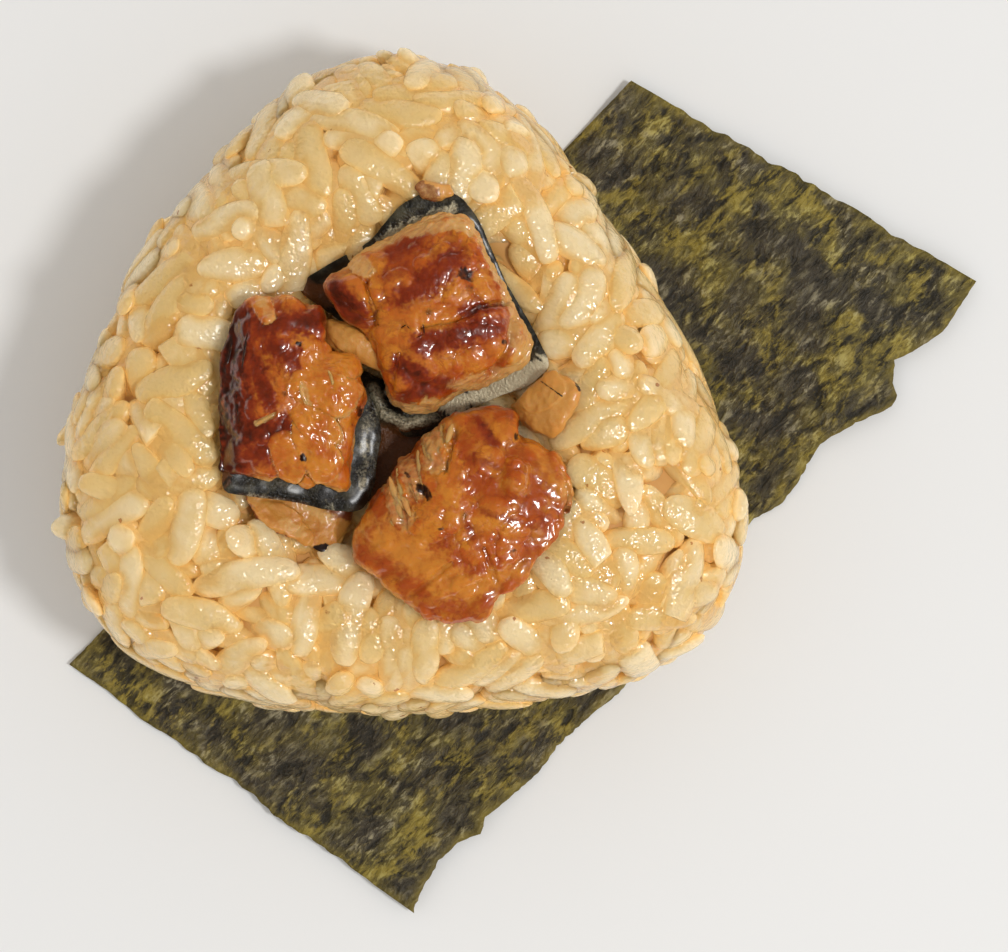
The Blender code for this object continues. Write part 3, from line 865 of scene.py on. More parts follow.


# Painted shade: the core's two ambers stand in for the shade in the gaps and for light glowing through the grains
# round them.
core_finish = Finish("rice_core_gap_shade_and_glow", Roughness=0.6)
gap_shade_mottle = core_finish.grain(3 * MM)
core_finish.drive("Base Color", core_finish.blend(paint(204, 144, 72), paint(220, 168, 96), gap_shade_mottle))
core_normals = outward_normals(ball_points, ball_triangles)
core_points = ball_points + core_normals * (CORE_LUMPS * bumps(ball_points, CORE_LUMP) - CORE_DEPTH)[:, None]
core_points[:, 2] = np.maximum(core_points[:, 2], BASE_HEIGHT)
core = piece_of("rice_core", core_points, ball_triangles, core_finish)
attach(core, "root")
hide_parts("rice_ball")
print("core", len(ball_triangles), "triangles")

# %% [markdown]
# ## Nori
#
# Nori is seaweed shredded, spread thin on a mat and dried like paper. Against the light it
# is a felt of dark and olive shreds that mostly run one way. The sheet is a dense grid on
# the same outline and ripples as the solid, with finer wrinkles and torn edges of its own,
# and then it gets its thickness. Its mottling is noise drawn out along the strip.

# %% Nori sheet
NORI_THICKNESS = 0.25 * MM
NORI_CORNERS = {
    "left": np.array([-60.3, -23.2]) * MM,
    "near": np.array([-14.4, -56.2]) * MM,
    "right": np.array([60.3, 27.7]) * MM,
    "far": np.array([14.4, 54.4]) * MM,
}
NORI_CELLS = (204, 100)
NORI_CURL = 1.5 * MM
NORI_CURL_START = 4.0 * MM
NORI_CURL_REACH = 22.0 * MM
NORI_RIPPLE = 0.7 * MM
NORI_RIPPLE_LENGTH = 17.0 * MM
NORI_RAGGED = 0.8 * MM
NORI_RAGS_ACROSS = 7
TORN_IN = (
    (0.0, 0.0), (0.026, 1.2), (0.07, 2.0), (0.10, 1.8), (0.123, 0.3), (0.146, 1.2), (0.187, 0.4), (0.217, -0.1),
    (0.261, 0.2), (0.32, -0.3), (0.355, -1.1), (0.42, -0.3), (0.50, 0.5), (0.615, 1.0), (0.649, -0.5), (0.682, -0.2),
    (0.734, 1.1), (0.77, -0.3), (0.817, -2.8), (0.832, -2.5), (0.844, -0.6), (0.867, 0.9), (0.898, -0.3),
    (0.928, -1.2), (1.0, 0.0),
)
FRAY = 0.55 * MM
FRAY_LENGTH = 1.6 * MM
WRINKLE = 0.3 * MM
WRINKLE_LENGTH = 2.8 * MM
WRINKLE_STRETCH = 2.2
LYING_FREE = (-1 * MM, 4 * MM)
STRIP_ALONG = unit(NORI_CORNERS["far"] - NORI_CORNERS["left"])
STRIP_ACROSS = np.array([STRIP_ALONG[1], -STRIP_ALONG[0]])


def noise_at(x, y, z=0.0):
    """Blender's smooth noise for single numbers."""
    return noise.noise(Vector((x, y, z)))


def nori_point(along, across):
    """The same place on the strip as in the solid, with finer frayed edges."""
    straight = NORI_CORNERS["left"] + (NORI_CORNERS["far"] - NORI_CORNERS["left"]) * along
    torn = NORI_CORNERS["near"] + (NORI_CORNERS["right"] - NORI_CORNERS["near"]) * along
    torn_in = np.interp(along, *zip(*TORN_IN)) * MM
    inward = unit(straight - torn)
    length = along * np.linalg.norm(NORI_CORNERS["far"] - NORI_CORNERS["left"])
    fray = FRAY * (abs(noise_at(length / FRAY_LENGTH, 5)) + abs(noise_at(length / FRAY_LENGTH * 3, 9)) / 2)
    torn = torn + inward * (torn_in + fray)
    straight = straight - inward * FRAY / 3 * abs(noise_at(length / FRAY_LENGTH, 2))
    end_share = abs(2 * along - 1) ** 8
    rag = noise_at(across * NORI_RAGS_ACROSS, 3 * round(along)) + 0.6 * noise_at(across * 31, 7 * round(along))
    wander = NORI_RAGGED * rag * end_share * math.sin(math.pi * across)
    return straight + (torn - straight) * across + STRIP_ALONG * wander


def on_ground(plan):
    """Points in plan as points in space, at height 0."""
    return np.column_stack([plan, np.zeros(len(plan))])


def nori_heights(points):
    """The strip's height: flat under the ball, with soft ripples where it is free."""
    offset = points - BALL_CENTRE
    out = np.linalg.norm(offset, axis=1) - outline_radius(np.arctan2(offset[:, 1], offset[:, 0]))
    free = smoothstep(-NORI_CURL_START, NORI_CURL_REACH, out)
    drawn_out = on_ground(np.column_stack([points @ STRIP_ALONG / WRINKLE_STRETCH, points @ STRIP_ACROSS]))
    ripple = NORI_RIPPLE * bumps(on_ground(points), NORI_RIPPLE_LENGTH)
    wrinkle = WRINKLE * (bumps(drawn_out, WRINKLE_LENGTH, 3.7) + 0.5 * bumps(drawn_out, WRINKLE_LENGTH / 2.6, 8.1))
    free_of_ball = smoothstep(*LYING_FREE, out)
    heights = free * (NORI_CURL * (1 + free) / 2 + ripple) + wrinkle * free_of_ball
    return np.maximum(heights, 0)


def nori_sheet():
    """A closed thin sheet: a grid, its copy one thickness up, and a strip round the rim."""
    columns, rows = NORI_CELLS
    shares = [(i / columns, j / rows) for i in range(columns + 1) for j in range(rows + 1)]
    plan = np.array([nori_point(*share) for share in shares])
    heights = nori_heights(plan)
    under = np.column_stack([plan, heights])
    over = under + (0, 0, NORI_THICKNESS)
    index = np.arange(len(plan)).reshape(columns + 1, rows + 1)
    a, b, c, d = index[:-1, :-1].ravel(), index[1:, :-1].ravel(), index[1:, 1:].ravel(), index[:-1, 1:].ravel()
    rim = np.concatenate([index[:, 0], index[-1, 1:], index[-2::-1, -1], index[0, -2:0:-1]])
    after = np.roll(rim, -1)
    top = np.column_stack([a, d, c, b]) + len(plan)
    bottom = np.column_stack([a, b, c, d])
    side = np.column_stack([after, rim, rim + len(plan), after + len(plan)])
    edge = np.array([min(i, columns - i, j, rows - j) for i in range(columns + 1) for j in range(rows + 1)])
    return np.vstack([under, over]), np.vstack([top, bottom, side]), np.tile(edge, 2)


nori_points, nori_faces, nori_edge = nori_sheet()
print("nori points", len(nori_points), "height", round(nori_points[:, 2].max() / MM, 2), "mm")

# %% [markdown]
# ## The finish of the nori
#
# Close to, the felt is a patchwork: dark slate where it is thick and olive where light comes
# through. Its pale crinkles, grey and straw, are painted highlights on the shrunk crinkles.
# One noise parts slate from olive, a finer one drawn out along the strip lays the shreds, and
# the same shreds raise the relief, so that every painted highlight sits where the relief
# catches the light.

# %% Nori finish
def nori_finish():
    nori = Finish("dried_seaweed", Specular_IOR_Level=0.5)
    lengthways = nori.node("Mapping", {"vector_type": "TEXTURE"}, {
        "Vector": nori.place(),
        "Rotation": (0, 0, math.atan2(STRIP_ALONG[1], STRIP_ALONG[0])),
        "Scale": (2.3, 1.0, 1.0),
    })
    black, slate, olive, moss, crinkle_highlight_straw, crinkle_highlight_grey = paints(
        (30, 26, 13), (66, 58, 42), (94, 82, 30), (150, 130, 40), (186, 172, 98), (172, 162, 130)
    )
    clouds = nori.grain(7 * MM, detail=4.0, warp=0.4)
    tufts = nori.grain(2.8 * MM, detail=4.0, roughness=0.65, at=lengthways, warp=0.7)
    shreds = nori.grain(1.9 * MM, detail=5.0, roughness=0.7, at=lengthways, warp=0.5)
    threads = nori.grain(0.75 * MM, detail=3.0, roughness=0.65, at=lengthways, warp=0.3)
    base = nori.blend(slate, olive, nori.step(clouds * 0.6 + shreds * 0.4, 0.40, 0.60))
    base = nori.blend(base, moss, nori.step(tufts * 0.6 + threads * 0.4 + (clouds - 0.5) * 0.5, 0.48, 0.66) * 0.85)
    base = nori.blend(base, black, nori.step(0.5 - (shreds - 0.5) * 0.8 - (threads - 0.5) * 0.4, 0.50, 0.62) * 0.85)
    # Painted highlight: pale grey and straw are laid on the crinkles where the relief rises.
    gathered = nori.step(nori.grain(4.5 * MM, detail=2.0), 0.44, 0.60)
    painted_crinkle_highlight = nori.step(shreds * 0.5 + threads * 0.5, 0.50, 0.63) * (0.35 + gathered * 0.65)
    base = nori.blend(base, nori.blend(crinkle_highlight_grey, crinkle_highlight_straw, nori.step(clouds, 0.40, 0.6)), painted_crinkle_highlight * 0.75)
    edge = 1 - nori.step(nori.stored("from_edge") + tufts * 8, 2.0, 7.0)
    base = nori.blend(base, moss, edge * 0.6)
    nori.drive("Base Color", base)
    nori.drive("Roughness", 0.4 + threads * 0.3)
    nori.relief(shreds + threads * 0.6, 0.7 * MM)
    return nori


nori = piece_of("nori_sheet", nori_points, nori_faces, nori_finish())
store(nori, "from_edge", nori_edge)
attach(nori, "root")
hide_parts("nori")
print("nori", len(nori_faces), "faces")

# %% [markdown]
# ## Where the eel lies in height
#
# Each piece of eel lies between a bed and a top, as its solid does. A bed is a tilted
# plane that bends up where the rice rises through it, and a top is a tilted plane that
# falls away from its middle. They are written as functions of points in plan, so that a
# fine mesh can ask for thousands of heights at once.

# %% Beds and tops
SKIN_THICKNESS = 0.7 * MM
LAYER_GAP = 0.65 * MM
BED_BLEND = 2.5 * MM
FLESH_FALL = 1.6 * MM
FALL_REACH = 12 * MM
SHRED = 1.0 * MM
SKY_HEIGHT = 0.1
DOWN = Vector((0, 0, -1))
CENTRES = {
    "eel_left": (-29.3, 12.0), "eel_top": (-11.7, 21.9), "eel_right": (-7.3, -3.0), "eel_strip": (-20.9, 18.2),
    "eel_under": (-27.6, -3.0), "eel_flake": (3.2, 10.7), "eel_left_skin": (-29.3, 12.0),
    "eel_top_skin": (-11.7, 21.9),
}
CENTRES = {name: np.array(centre) * MM for name, centre in CENTRES.items()}


def rice_top(plan):
    """The height of the bare rice under points in plan."""
    hits = (ball_tree.ray_cast(Vector((x, y, SKY_HEIGHT)), DOWN)[0] for x, y in plan.tolist())
    return np.array([hit.z if hit else CORE_BASE for hit in hits])


def plane(piece, height, slope_x=0.0, slope_y=0.0):
    """A tilted plane, from its height in millimetres at the middle of a piece."""
    return lambda plan: height * MM + (plan - CENTRES[piece]) @ np.array([slope_x, slope_y])


def crowned(piece, height, slope_x=0.0, slope_y=0.0):
    """A tilted plane that falls away from the middle of a piece."""
    flat = plane(piece, height, slope_x, slope_y)
    return lambda plan: flat(plan) - FLESH_FALL * ((plan - CENTRES[piece]) ** 2).sum(1) / FALL_REACH**2


def bed(flat):
    """A plane that bends up softly where the rice rises through it."""
    def surface(plan):
        low, high = flat(plan), rice_top(plan) + LAYER_GAP
        share = np.clip(0.5 + 0.5 * (high - low) / BED_BLEND, 0, 1)
        return low + (high - low) * share + BED_BLEND * share * (1 - share)
    return surface


def raised(surface, height):
    return lambda plan: surface(plan) + height


left_bed = bed(plane("eel_left", 29.4, -0.16, -0.03))
top_bed = bed(plane("eel_top", 26.4, 0.02, 0.02))
right_bed = bed(plane("eel_right", 25.2))
bare_bed = raised(rice_top, LAYER_GAP)
left_top = crowned("eel_left", 36.4, -0.03)
top_top = crowned("eel_top", 36.0, 0.0, 0.02)
right_top = crowned("eel_right", 35.8)
strip_top = crowned("eel_strip", 32.8)
bit_top = raised(bare_bed, 3.2 * MM)
print("left bed", round(float(left_bed(CENTRES["eel_left"][None])[0]) / MM, 1), "mm over the table")

# %% [markdown]
# ## Pillows
#
# Eel flesh is soft, so a piece begins as a pillow: a ball whose directions are led to the
# outline and to the two surfaces. Its net is fine enough for the small lumps of glaze. It
# is finest on the upper face, which is seen, and coarse underneath. The top fillet spreads
# toward its foot, so it has a second outline there.

# %% Pillows
PILLOW_SIDES = 330
PILLOW_RINGS = (14, 46, 66)
TOP_FOOT = np.array([
    (-24.7, 25.8), (-22.0, 29.0), (-18.7, 31.3), (-15.0, 33.5), (-11.0, 34.8), (-6.9, 34.9), (-5.2, 32.8),
    (-3.8, 29.1), (-1.6, 24.7), (0.2, 21.1), (2.1, 18.2), (1.7, 15.3), (-1.9, 13.5), (-7.4, 11.5), (-11.0, 8.6),
    (-14.7, 8.6), (-16.9, 10.9), (-18.3, 15.3), (-20.5, 20.4), (-24.9, 24.0),
]) * MM


def rim_radius(outline, centre, ways):
    """How far an outline lies from a middle in each direction."""
    starts = outline - centre
    sides = np.roll(starts, -1, axis=0) - starts
    facing = ways[:, None, 0] * sides[:, 1] - ways[:, None, 1] * sides[:, 0]
    reach = (starts[:, 0] * sides[:, 1] - starts[:, 1] * sides[:, 0]) / facing
    share = (starts[:, 0] * ways[:, None, 1] - starts[:, 1] * ways[:, None, 0]) / facing
    radius = np.where((share >= 0) & (share <= 1) & (reach > 0), reach, 0).max(1)
    return sum(np.roll(radius, turn) for turn in (-2, -1, 0, 1, 2)) / 5


def pillow(centre, foot, crown, lower, upper, fullness, sides=PILLOW_SIDES, rings=PILLOW_RINGS):
    """The points and faces of a closed plump shape between two outlines and two surfaces."""
    bounds = np.array((1, 0.75, 0.25, 0)) * math.pi
    turns = [np.linspace(start, end, count, endpoint=False) for start, end, count in zip(bounds, bounds[1:], rings)]
    turns = np.concatenate(turns)[1:]
    flat, up = np.sin(turns), np.cos(turns)
    reach = (flat**fullness + np.abs(up) ** fullness) ** (-1 / fullness)
    share, level = np.append(flat * reach, (0, 0)), np.append(up * reach, (-1, 1)) / 2 + 0.5
    angles = np.arange(sides) * 2 * math.pi / sides
    ways = np.column_stack([np.cos(angles), np.sin(angles)])
    low_rim, high_rim = rim_radius(foot, centre, ways), rim_radius(crown, centre, ways)
    radius = low_rim[None] + (high_rim - low_rim)[None] * level[:-2, None]
    spokes = (ways[None] * (radius * share[:-2, None])[..., None]).reshape(-1, 2)
    plan = centre + np.vstack([np.zeros((1, 2)), spokes, np.zeros((1, 2))])
    levels = np.concatenate([[0], np.repeat(level[:-2], sides), [1]])
    low = lower(plan)
    high = np.maximum(upper(plan), low + SHRED)
    points = np.column_stack([plan, low + (high - low) * levels])
    return points, net_faces(len(turns), sides), levels


print("a fillet's net has", len(net_faces(sum(PILLOW_RINGS) - 1, PILLOW_SIDES)), "triangles")

# %% [markdown]
# ## Lumps, flakes and strokes
#
# What makes it eel is the relief: small blisters of glaze, flakes of flesh that overlap
# like petals, and creases where it was cut. Each kind is a height that is added along the
# surface, so that they can be laid on top of each other. A stroke is a short line with a
# width, for all that lies in one known place: a burnt spot, a pale rim, a crease.

# %% Relief
def lift(points, faces, heights):
    """Moves every point outward by its own height."""
    return points + outward_normals(points, faces) * heights[:, None]


def blisters(points, count, smallest, largest, seed):
    """Round lumps of glaze at random places, which meet in creases: 0 between, 1 on top."""
    dice = np.random.default_rng(seed)
    middles = points[dice.integers(len(points), size=count)]
    sizes = dice.uniform(smallest, largest, count)
    heights = np.zeros(len(points))
    for middle, size in zip(middles, sizes):
        gap = ((points - middle) ** 2).sum(1) / size**2
        heights = np.maximum(heights, np.sqrt(np.maximum(1 - gap, 0)) * size / largest)
    return heights


def narrower(outline, centre, share):
    """An outline drawn in toward its middle by a share."""
    return centre + (outline - centre) * (1 - share)


FADE = (1.3, 0.5)


def stroked(points, strokes, raggedness=0.35, fade=FADE):
    """How strongly each point is marked by strokes of (x, y, x, y, width, strength), in mm."""
    plan = points[:, :2] / MM
    ragged = raggedness * (bumps(points, 0.9 * MM, 2.0) + bumps(points, 0.35 * MM, 5.0))
    marked = np.zeros(len(points))
    for x, y, to_x, to_y, width, strength in strokes:
        start, along = np.array((x, y)), np.array((to_x - x, to_y - y))
        share = np.clip((plan - start) @ along / (along @ along + 1e-9), 0, 1)
        gap = np.linalg.norm(plan - start - share[:, None] * along, axis=1) / width
        marked = np.maximum(marked, strength * smoothstep(*fade, gap + ragged))
    return marked


def flakes(points, blades):
    """Flakes of (x, y, heading, length, width, lift): heights, and where their rims are."""
    plan = points[:, :2] / MM
    heights, rims = np.zeros(len(points)), np.zeros(len(points))
    ragged = 0.10 * bumps(points, 1.3 * MM, 4.0)
    for x, y, heading, length, width, rise in blades:
        turn = math.radians(heading)
        offset = plan - (x, y)
        along = (offset @ (math.cos(turn), math.sin(turn))) / length
        across = (offset @ (-math.sin(turn), math.cos(turn))) / (width / 2)
        out = (np.abs(2 * along - 1) ** 2.6 + np.abs(across) ** 2.6) ** (1 / 2.6) + ragged
        height = rise * MM * (0.2 + 0.8 * np.clip(along, 0, 1)) * smoothstep(1.0, 0.86, out)
        higher = height > heights
        rim = smoothstep(0.72, 0.93, out) * smoothstep(0.1, 0.5, along)
        rims = np.where(higher, rim, rims * smoothstep(0.98, 1.05, out))
        heights = np.maximum(heights, height)
    return heights, rims


print("a stroke is full within", FADE[1], "of its width and fades out at", FADE[0])

# %% [markdown]
# ## Shreds
#
# Torn fibres and charred hairs are thinner than the net of a pillow, so they are shapes of
# their own: the net of a grain drawn thin, laid on the piece where it is, and kept in the
# same mesh. Each is given by its ends in plan, its width and what it is.

# %% Shreds
STRAND_BEND = 0.3
STRAND_FLATNESS = 0.8


def with_shreds(points, faces, marks, strands):
    """Adds strands of (x, y, x, y, width, mark) to a piece and to its marks."""
    ground = BVHTree.FromPolygons(points.tolist(), faces.tolist())
    all_points, all_faces = [points], [faces]
    added = {mark: [values] for mark, values in marks.items()}
    for number, (x, y, to_x, to_y, width, kind) in enumerate(strands):
        ends = []
        for end in ((x, y), (to_x, to_y)):
            hit = ground.ray_cast(Vector((end[0] * MM, end[1] * MM, SKY_HEIGHT)), DOWN)[0]
            ends.append(np.array(hit) if hit else np.array([end[0] * MM, end[1] * MM, points[:, 2].mean()]))
        middle, along = (ends[0] + ends[1]) / 2, (ends[1] - ends[0]) / 2
        side = unit(np.cross(along, (0, 0, 1)))
        up = unit(np.cross(side, along))
        lengthways, sideways, upward = net[:, :1], net[:, 1:2], net[:, 2:]
        bend = STRAND_BEND * width * MM * math.sin(number * 2.1) * (1 - lengthways**2)
        half_width = width / 2 * MM
        shred = middle + lengthways * along + (sideways * half_width + bend) * side
        shred = shred + upward * half_width * STRAND_FLATNESS * up
        all_faces.append(net_faces() + sum(len(part) for part in all_points))
        all_points.append(shred)
        for mark in added:
            added[mark].append(np.full(len(net), float(mark in (kind, "crest"))))
    marks = {mark: np.concatenate(parts) for mark, parts in added.items()}
    return np.vstack(all_points), np.vstack(all_faces), marks


print("a strand has", len(net_faces()), "triangles")

# %% [markdown]
# ## The finish of grilled eel
#
# Glaze is sugar and soy boiled down: deep red where it is thick or baked, orange where the
# flesh shines through, black where it caught fire. The mesh carries where each of these is,
# as numbers from 0 to 1, and the finish blends one colour over the other. The crests of the
# blisters are painted paler, a painted highlight, and the hollows between them redder, partly
# thicker glaze and partly painted shade. A clear coat stands for the wet film and gives the
# small sharp lights on every lump.

# %% Glazed finish
def glazed_finish():
    glaze = Finish(
        "grilled_glaze", Subsurface_Weight=0.45, Subsurface_Scale=0.9 * MM, Subsurface_Radius=(1.0, 0.5, 0.2),
        Coat_Roughness=0.14, Coat_IOR=1.65,
    )
    orange, amber, red, deep, jelly_and_crest_highlight, pale, beige, char = paints(
        (184, 84, 6), (204, 124, 24), (138, 44, 4), (76, 22, 3), (214, 136, 40), (214, 166, 98), (192, 138, 72),
        (38, 15, 6),
    )
    cloud = glaze.grain(2.6 * MM, detail=4.0, roughness=0.6)
    fine = glaze.grain(0.7 * MM, detail=3.0, roughness=0.6)
    streaks = glaze.grain(1.3 * MM, detail=4.0, roughness=0.6, warp=1.2)
    base = glaze.blend(orange, amber, glaze.step(cloud, 0.42, 0.62))
    base = glaze.blend(base, red, glaze.step(streaks, 0.50, 0.66) * 0.6)
    # Painted highlight: the crests of the blisters are made paler.
    base = glaze.blend(base, jelly_and_crest_highlight, glaze.step(glaze.stored("crest"), 0.45, 1.0) * 0.4)
    # Painted shade, partly thicker glaze: the hollows between blisters are made redder.
    painted_hollow_shade = 1 - glaze.step(glaze.stored("crest"), 0.0, 0.55)
    base = glaze.blend(base, red, painted_hollow_shade * 0.3)
    baked = glaze.mark("baked", (cloud, 1.0), (fine, 0.5)) + painted_hollow_shade * 0.1
    base = glaze.blend(base, red, glaze.step(baked, 0.1, 0.75))
    base = glaze.blend(base, deep, glaze.step(baked, 0.6, 1.25))
    base = glaze.blend(base, jelly_and_crest_highlight, glaze.step(glaze.mark("clear", (streaks, 1.2), (cloud, 1.0)), 0.2, 1.1) * 0.85)
    base = glaze.blend(base, beige, glaze.step(glaze.mark("wall", (cloud, 0.5)), 0.35, 0.75))
    base = glaze.blend(base, pale, glaze.step(glaze.mark("pale", (fine, 0.8), (cloud, 0.9)), 0.25, 1.25) * 0.9)
    burnt = glaze.step(glaze.mark("burnt", (fine, 0.9)), 0.3, 1.05)
    base = glaze.blend(base, char, burnt)
    glaze.drive("Base Color", base)
    glaze.drive("Coat Weight", 1 - burnt * 0.75)
    glaze.drive("Roughness", 0.3 + fine * 0.2)
    glaze.relief(fine + streaks * 0.5, 0.1 * MM)
    return glaze


glaze = glazed_finish()
print("glaze of", len(glaze.tree.nodes), "nodes")

# %% [markdown]
# ## Making a piece of eel
#
# Every piece of eel is made in the same way: its marks are stored on the mesh, it rides on
# the part, and it takes the place of its solid.


def eel_piece(name, piece, points, faces, finish, **marks):
    """One object of the eel, with the marks that its finish reads."""
    made = piece_of(name, points, faces, finish)
    for mark, values in marks.items():
        store(made, mark, values)
    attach(made, "root")
    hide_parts(piece)
    print(name, len(faces), "triangles, up to", round(points[:, 2].max() / MM, 1), "mm")


# %% [markdown]
# ## The relief of the glaze
#
# All three fillets get the same relief: broad folds, creases where they were cut, round
# blisters of two sizes where there is glaze, and fine wrinkles where there is none.

# %% Glazed relief
CREASE_DEPTH = 0.7 * MM


def glazed_relief(points, faces, levels, creases, pale, seed, count, swelling):
    """Adds folds, blisters and fine lumps; returns the points and how high each crest is."""
    folds = 0.6 * MM * bumps(points, 4.6 * MM, seed) + 0.25 * MM * bumps(points, 1.9 * MM, seed + 4)
    points = lift(points, faces, folds)
    points = lift(points, faces, -CREASE_DEPTH * stroked(points, creases, 0.15))
    upper = smoothstep(0.35, 0.8, levels)
    crests = blisters(points, count, 0.7 * MM, 2.2 * MM, seed)
    small = blisters(points, 700, 0.25 * MM, 0.6 * MM, seed + 1)
    wrinkled = np.column_stack([points[:, 0], points[:, 1], points[:, 2] * 4])
    wrinkles = bumps(wrinkled, 0.9 * MM, seed + 2)
    glazed = upper * (1 - pale)
    heights = glazed * (swelling * crests + 0.07 * small) * MM + (1 - glazed) * 0.3 * MM * wrinkles
    heights += 0.06 * MM * bumps(points, 0.6 * MM, seed + 3)
    return lift(points, faces, heights), crests


print("creases are", round(CREASE_DEPTH / MM, 1), "mm deep")

# %% [markdown]
# ## The square fillet at the top
#
# It is a rounded square with its skin underneath. A cut runs into its face from the right,
# and the part below the cut is the reddest. A wrinkled film of pale fat frames it above and
# on the right. All that is placed by strokes; only the blisters are random.

# %% Top fillet
TOP_BURNT = [
    (-7.4, 26.6, -6.9, 26.4, 0.9, 0.9), (-6.9, 25.6, -6.5, 24.6, 0.7, 0.55), (-2.5, 18.3, -2.3, 18.4, 0.35, 1),
    (-5.5, 22.5, -2.5, 23.1, 0.4, 0.55), (-8.1, 20.9, -5.5, 22.5, 0.4, 0.4), (-13.8, 14.3, -12.9, 14.6, 0.35, 0.6),
    (-24.0, 22.6, -23.6, 22.2, 0.5, 0.9), (-23.6, 24.6, -21.8, 23.0, 1.1, 0.45),
]
TOP_BAKED = [
    (-16.0, 29.2, -12.4, 31.4, 1.6, 0.6), (-14.6, 23.8, -8.8, 28.1, 2.0, 0.75), (-16.7, 26.3, -14.6, 27.4, 1.2, 0.5),
    (-14.9, 15.2, -12.4, 13.3, 1.6, 0.9), (-12.4, 18.0, -3.7, 20.2, 1.7, 0.85), (-7.4, 22.0, -3.4, 22.7, 1.0, 0.8),
    (-14.6, 11.5, -9.2, 13.0, 1.2, 0.8), (-23.5, 24.9, -20.6, 21.4, 1.6, 1.1),
]
TOP_CLEAR = [
    (-5.5, 26.0, -3.7, 23.8, 1.3, 0.8), (-13.5, 22.0, -9.9, 20.9, 1.5, 0.6), (-0.9, 15.2, 0.6, 17.7, 1.5, 1),
]
TOP_PALE = [
    (-16.7, 31.7, -8.8, 33.0, 0.9, 0.9), (-8.8, 33.0, -5.5, 31.6, 0.8, 1), (-5.5, 31.6, -3.6, 27.8, 0.9, 1),
    (-3.6, 27.8, -1.4, 22.7, 0.8, 1), (-1.4, 22.7, -0.9, 18.0, 0.8, 0.9),
    (-15.3, 9.7, -11.0, 10.1, 1.6, 1), (-8.1, 13.0, -3.7, 13.7, 1.4, 0.8), (0.4, 18.8, -0.6, 15.4, 1.3, 0.8),
]
TOP_FLAP = [(-21.6, 29.0, -40, 4.2, 2.6, 0.7)]
TOP_CREASES = [
    (-2.0, 23.3, -5.5, 22.5, 0.5, 1), (-5.5, 22.5, -8.5, 20.8, 0.5, 1), (-8.5, 20.8, -12.5, 20.0, 0.5, 0.6),
    (-19.4, 25.5, -18.2, 20.5, 0.6, 0.9), (-15.4, 16.9, -16.2, 13.0, 0.5, 0.5), (-1.0, 21.0, -1.9, 17.6, 0.5, 1),
    (-1.9, 17.6, -3.6, 14.8, 0.5, 1),
]


BAKED_FADE = (1.7, 0.1)
TOP_HAIRS = [
    (-15.1, 20.0, -14.4, 20.4, 0.14, "burnt"), (-14.4, 20.3, -13.3, 19.3, 0.12, "burnt"),
    (-12.4, 20.5, -12.2, 19.0, 0.16, "burnt"), (-13.2, 18.8, -12.3, 19.2, 0.10, "burnt"),
]

centre = CENTRES["eel_top"]
points, faces, levels = pillow(centre, TOP_FOOT, OUTLINES["eel_top"], raised(top_bed, SKIN_THICKNESS), top_top, 3.6)
pale = np.maximum(stroked(points, TOP_PALE), smoothstep(0.8, 0.55, levels))
flap, _ = flakes(points, TOP_FLAP)
pale = np.maximum(pale, np.minimum(flap / (0.2 * MM), 1) * 0.9)
points = lift(points, faces, flap)
points, crests = glazed_relief(points, faces, levels, TOP_CREASES, pale, 11, 230, 0.55)
marks = {
    "crest": crests, "wall": 0 * levels, "pale": pale, "burnt": stroked(points, TOP_BURNT),
    "baked": stroked(points, TOP_BAKED, 0.35, BAKED_FADE), "clear": stroked(points, TOP_CLEAR),
}
points, faces, marks = with_shreds(points, faces, marks, TOP_HAIRS)
eel_piece("eel_top_fillet", "eel_top", points, faces, glaze, **marks)

# %% [markdown]
# ## The left fillet
#
# Its left side was cut steep and burnt in dark streaks, and its right side shows the bare
# flesh in large flakes with thin pale rims. Between them runs a red-brown glazed band.

# %% Left fillet
LEFT_BURNT = [
    (-37.2, 21.0, -37.9, 10.8, 1.3, 0.7), (-37.9, 10.8, -38.4, 3.0, 1.3, 0.8), (-36.0, 20.5, -36.9, 15.0, 0.35, 0.8),
    (-35.4, 17.5, -36.2, 12.0, 0.3, 0.75), (-36.6, 12.5, -37.0, 6.5, 0.4, 0.8), (-35.3, 10.5, -35.8, 6.0, 0.25, 0.7),
    (-34.7, 14.4, -33.6, 11.4, 0.45, 0.6), (-35.2, 23.1, -33.4, 22.4, 0.6, 0.5), (-27.2, 4.3, -27.1, 4.0, 0.45, 1),
    (-27.8, 18.1, -27.5, 18.0, 0.3, 1), (-20.2, 10.1, -20.4, 9.4, 0.35, 0.9), (-33.4, 17.0, -31.9, 14.8, 0.6, 0.5),
]
LEFT_BAKED = [
    (-32.2, 20.2, -25.4, 20.9, 1.8, 0.9), (-30.8, 18.0, -27.9, 15.9, 1.8, 0.8), (-33.3, 15.9, -31.1, 10.8, 1.5, 0.8),
    (-35.4, 7.2, -29.0, 7.6, 2.0, 0.9), (-34.4, 4.3, -30.4, 4.7, 1.6, 0.8), (-25.4, 23.1, -24.6, 18.0, 0.9, 0.6),
    (-22.8, 6.5, -22.8, 6.9, 0.5, 0.6), (-35.6, 21.0, -36.4, 3.0, 2.6, 1.15), (-33.9, 17.0, -33.6, 9.0, 1.2, 0.7),
]
LEFT_PALE = [
    (-32.4, 23.4, -31.2, 21.4, 0.8, 0.8), (-27.2, 13.0, -26.4, 10.8, 0.5, 0.9), (-32.7, 8.3, -30.6, 9.4, 0.4, 1),
    (-22.5, 0.0, -34.4, 1.6, 0.5, 0.6),
]
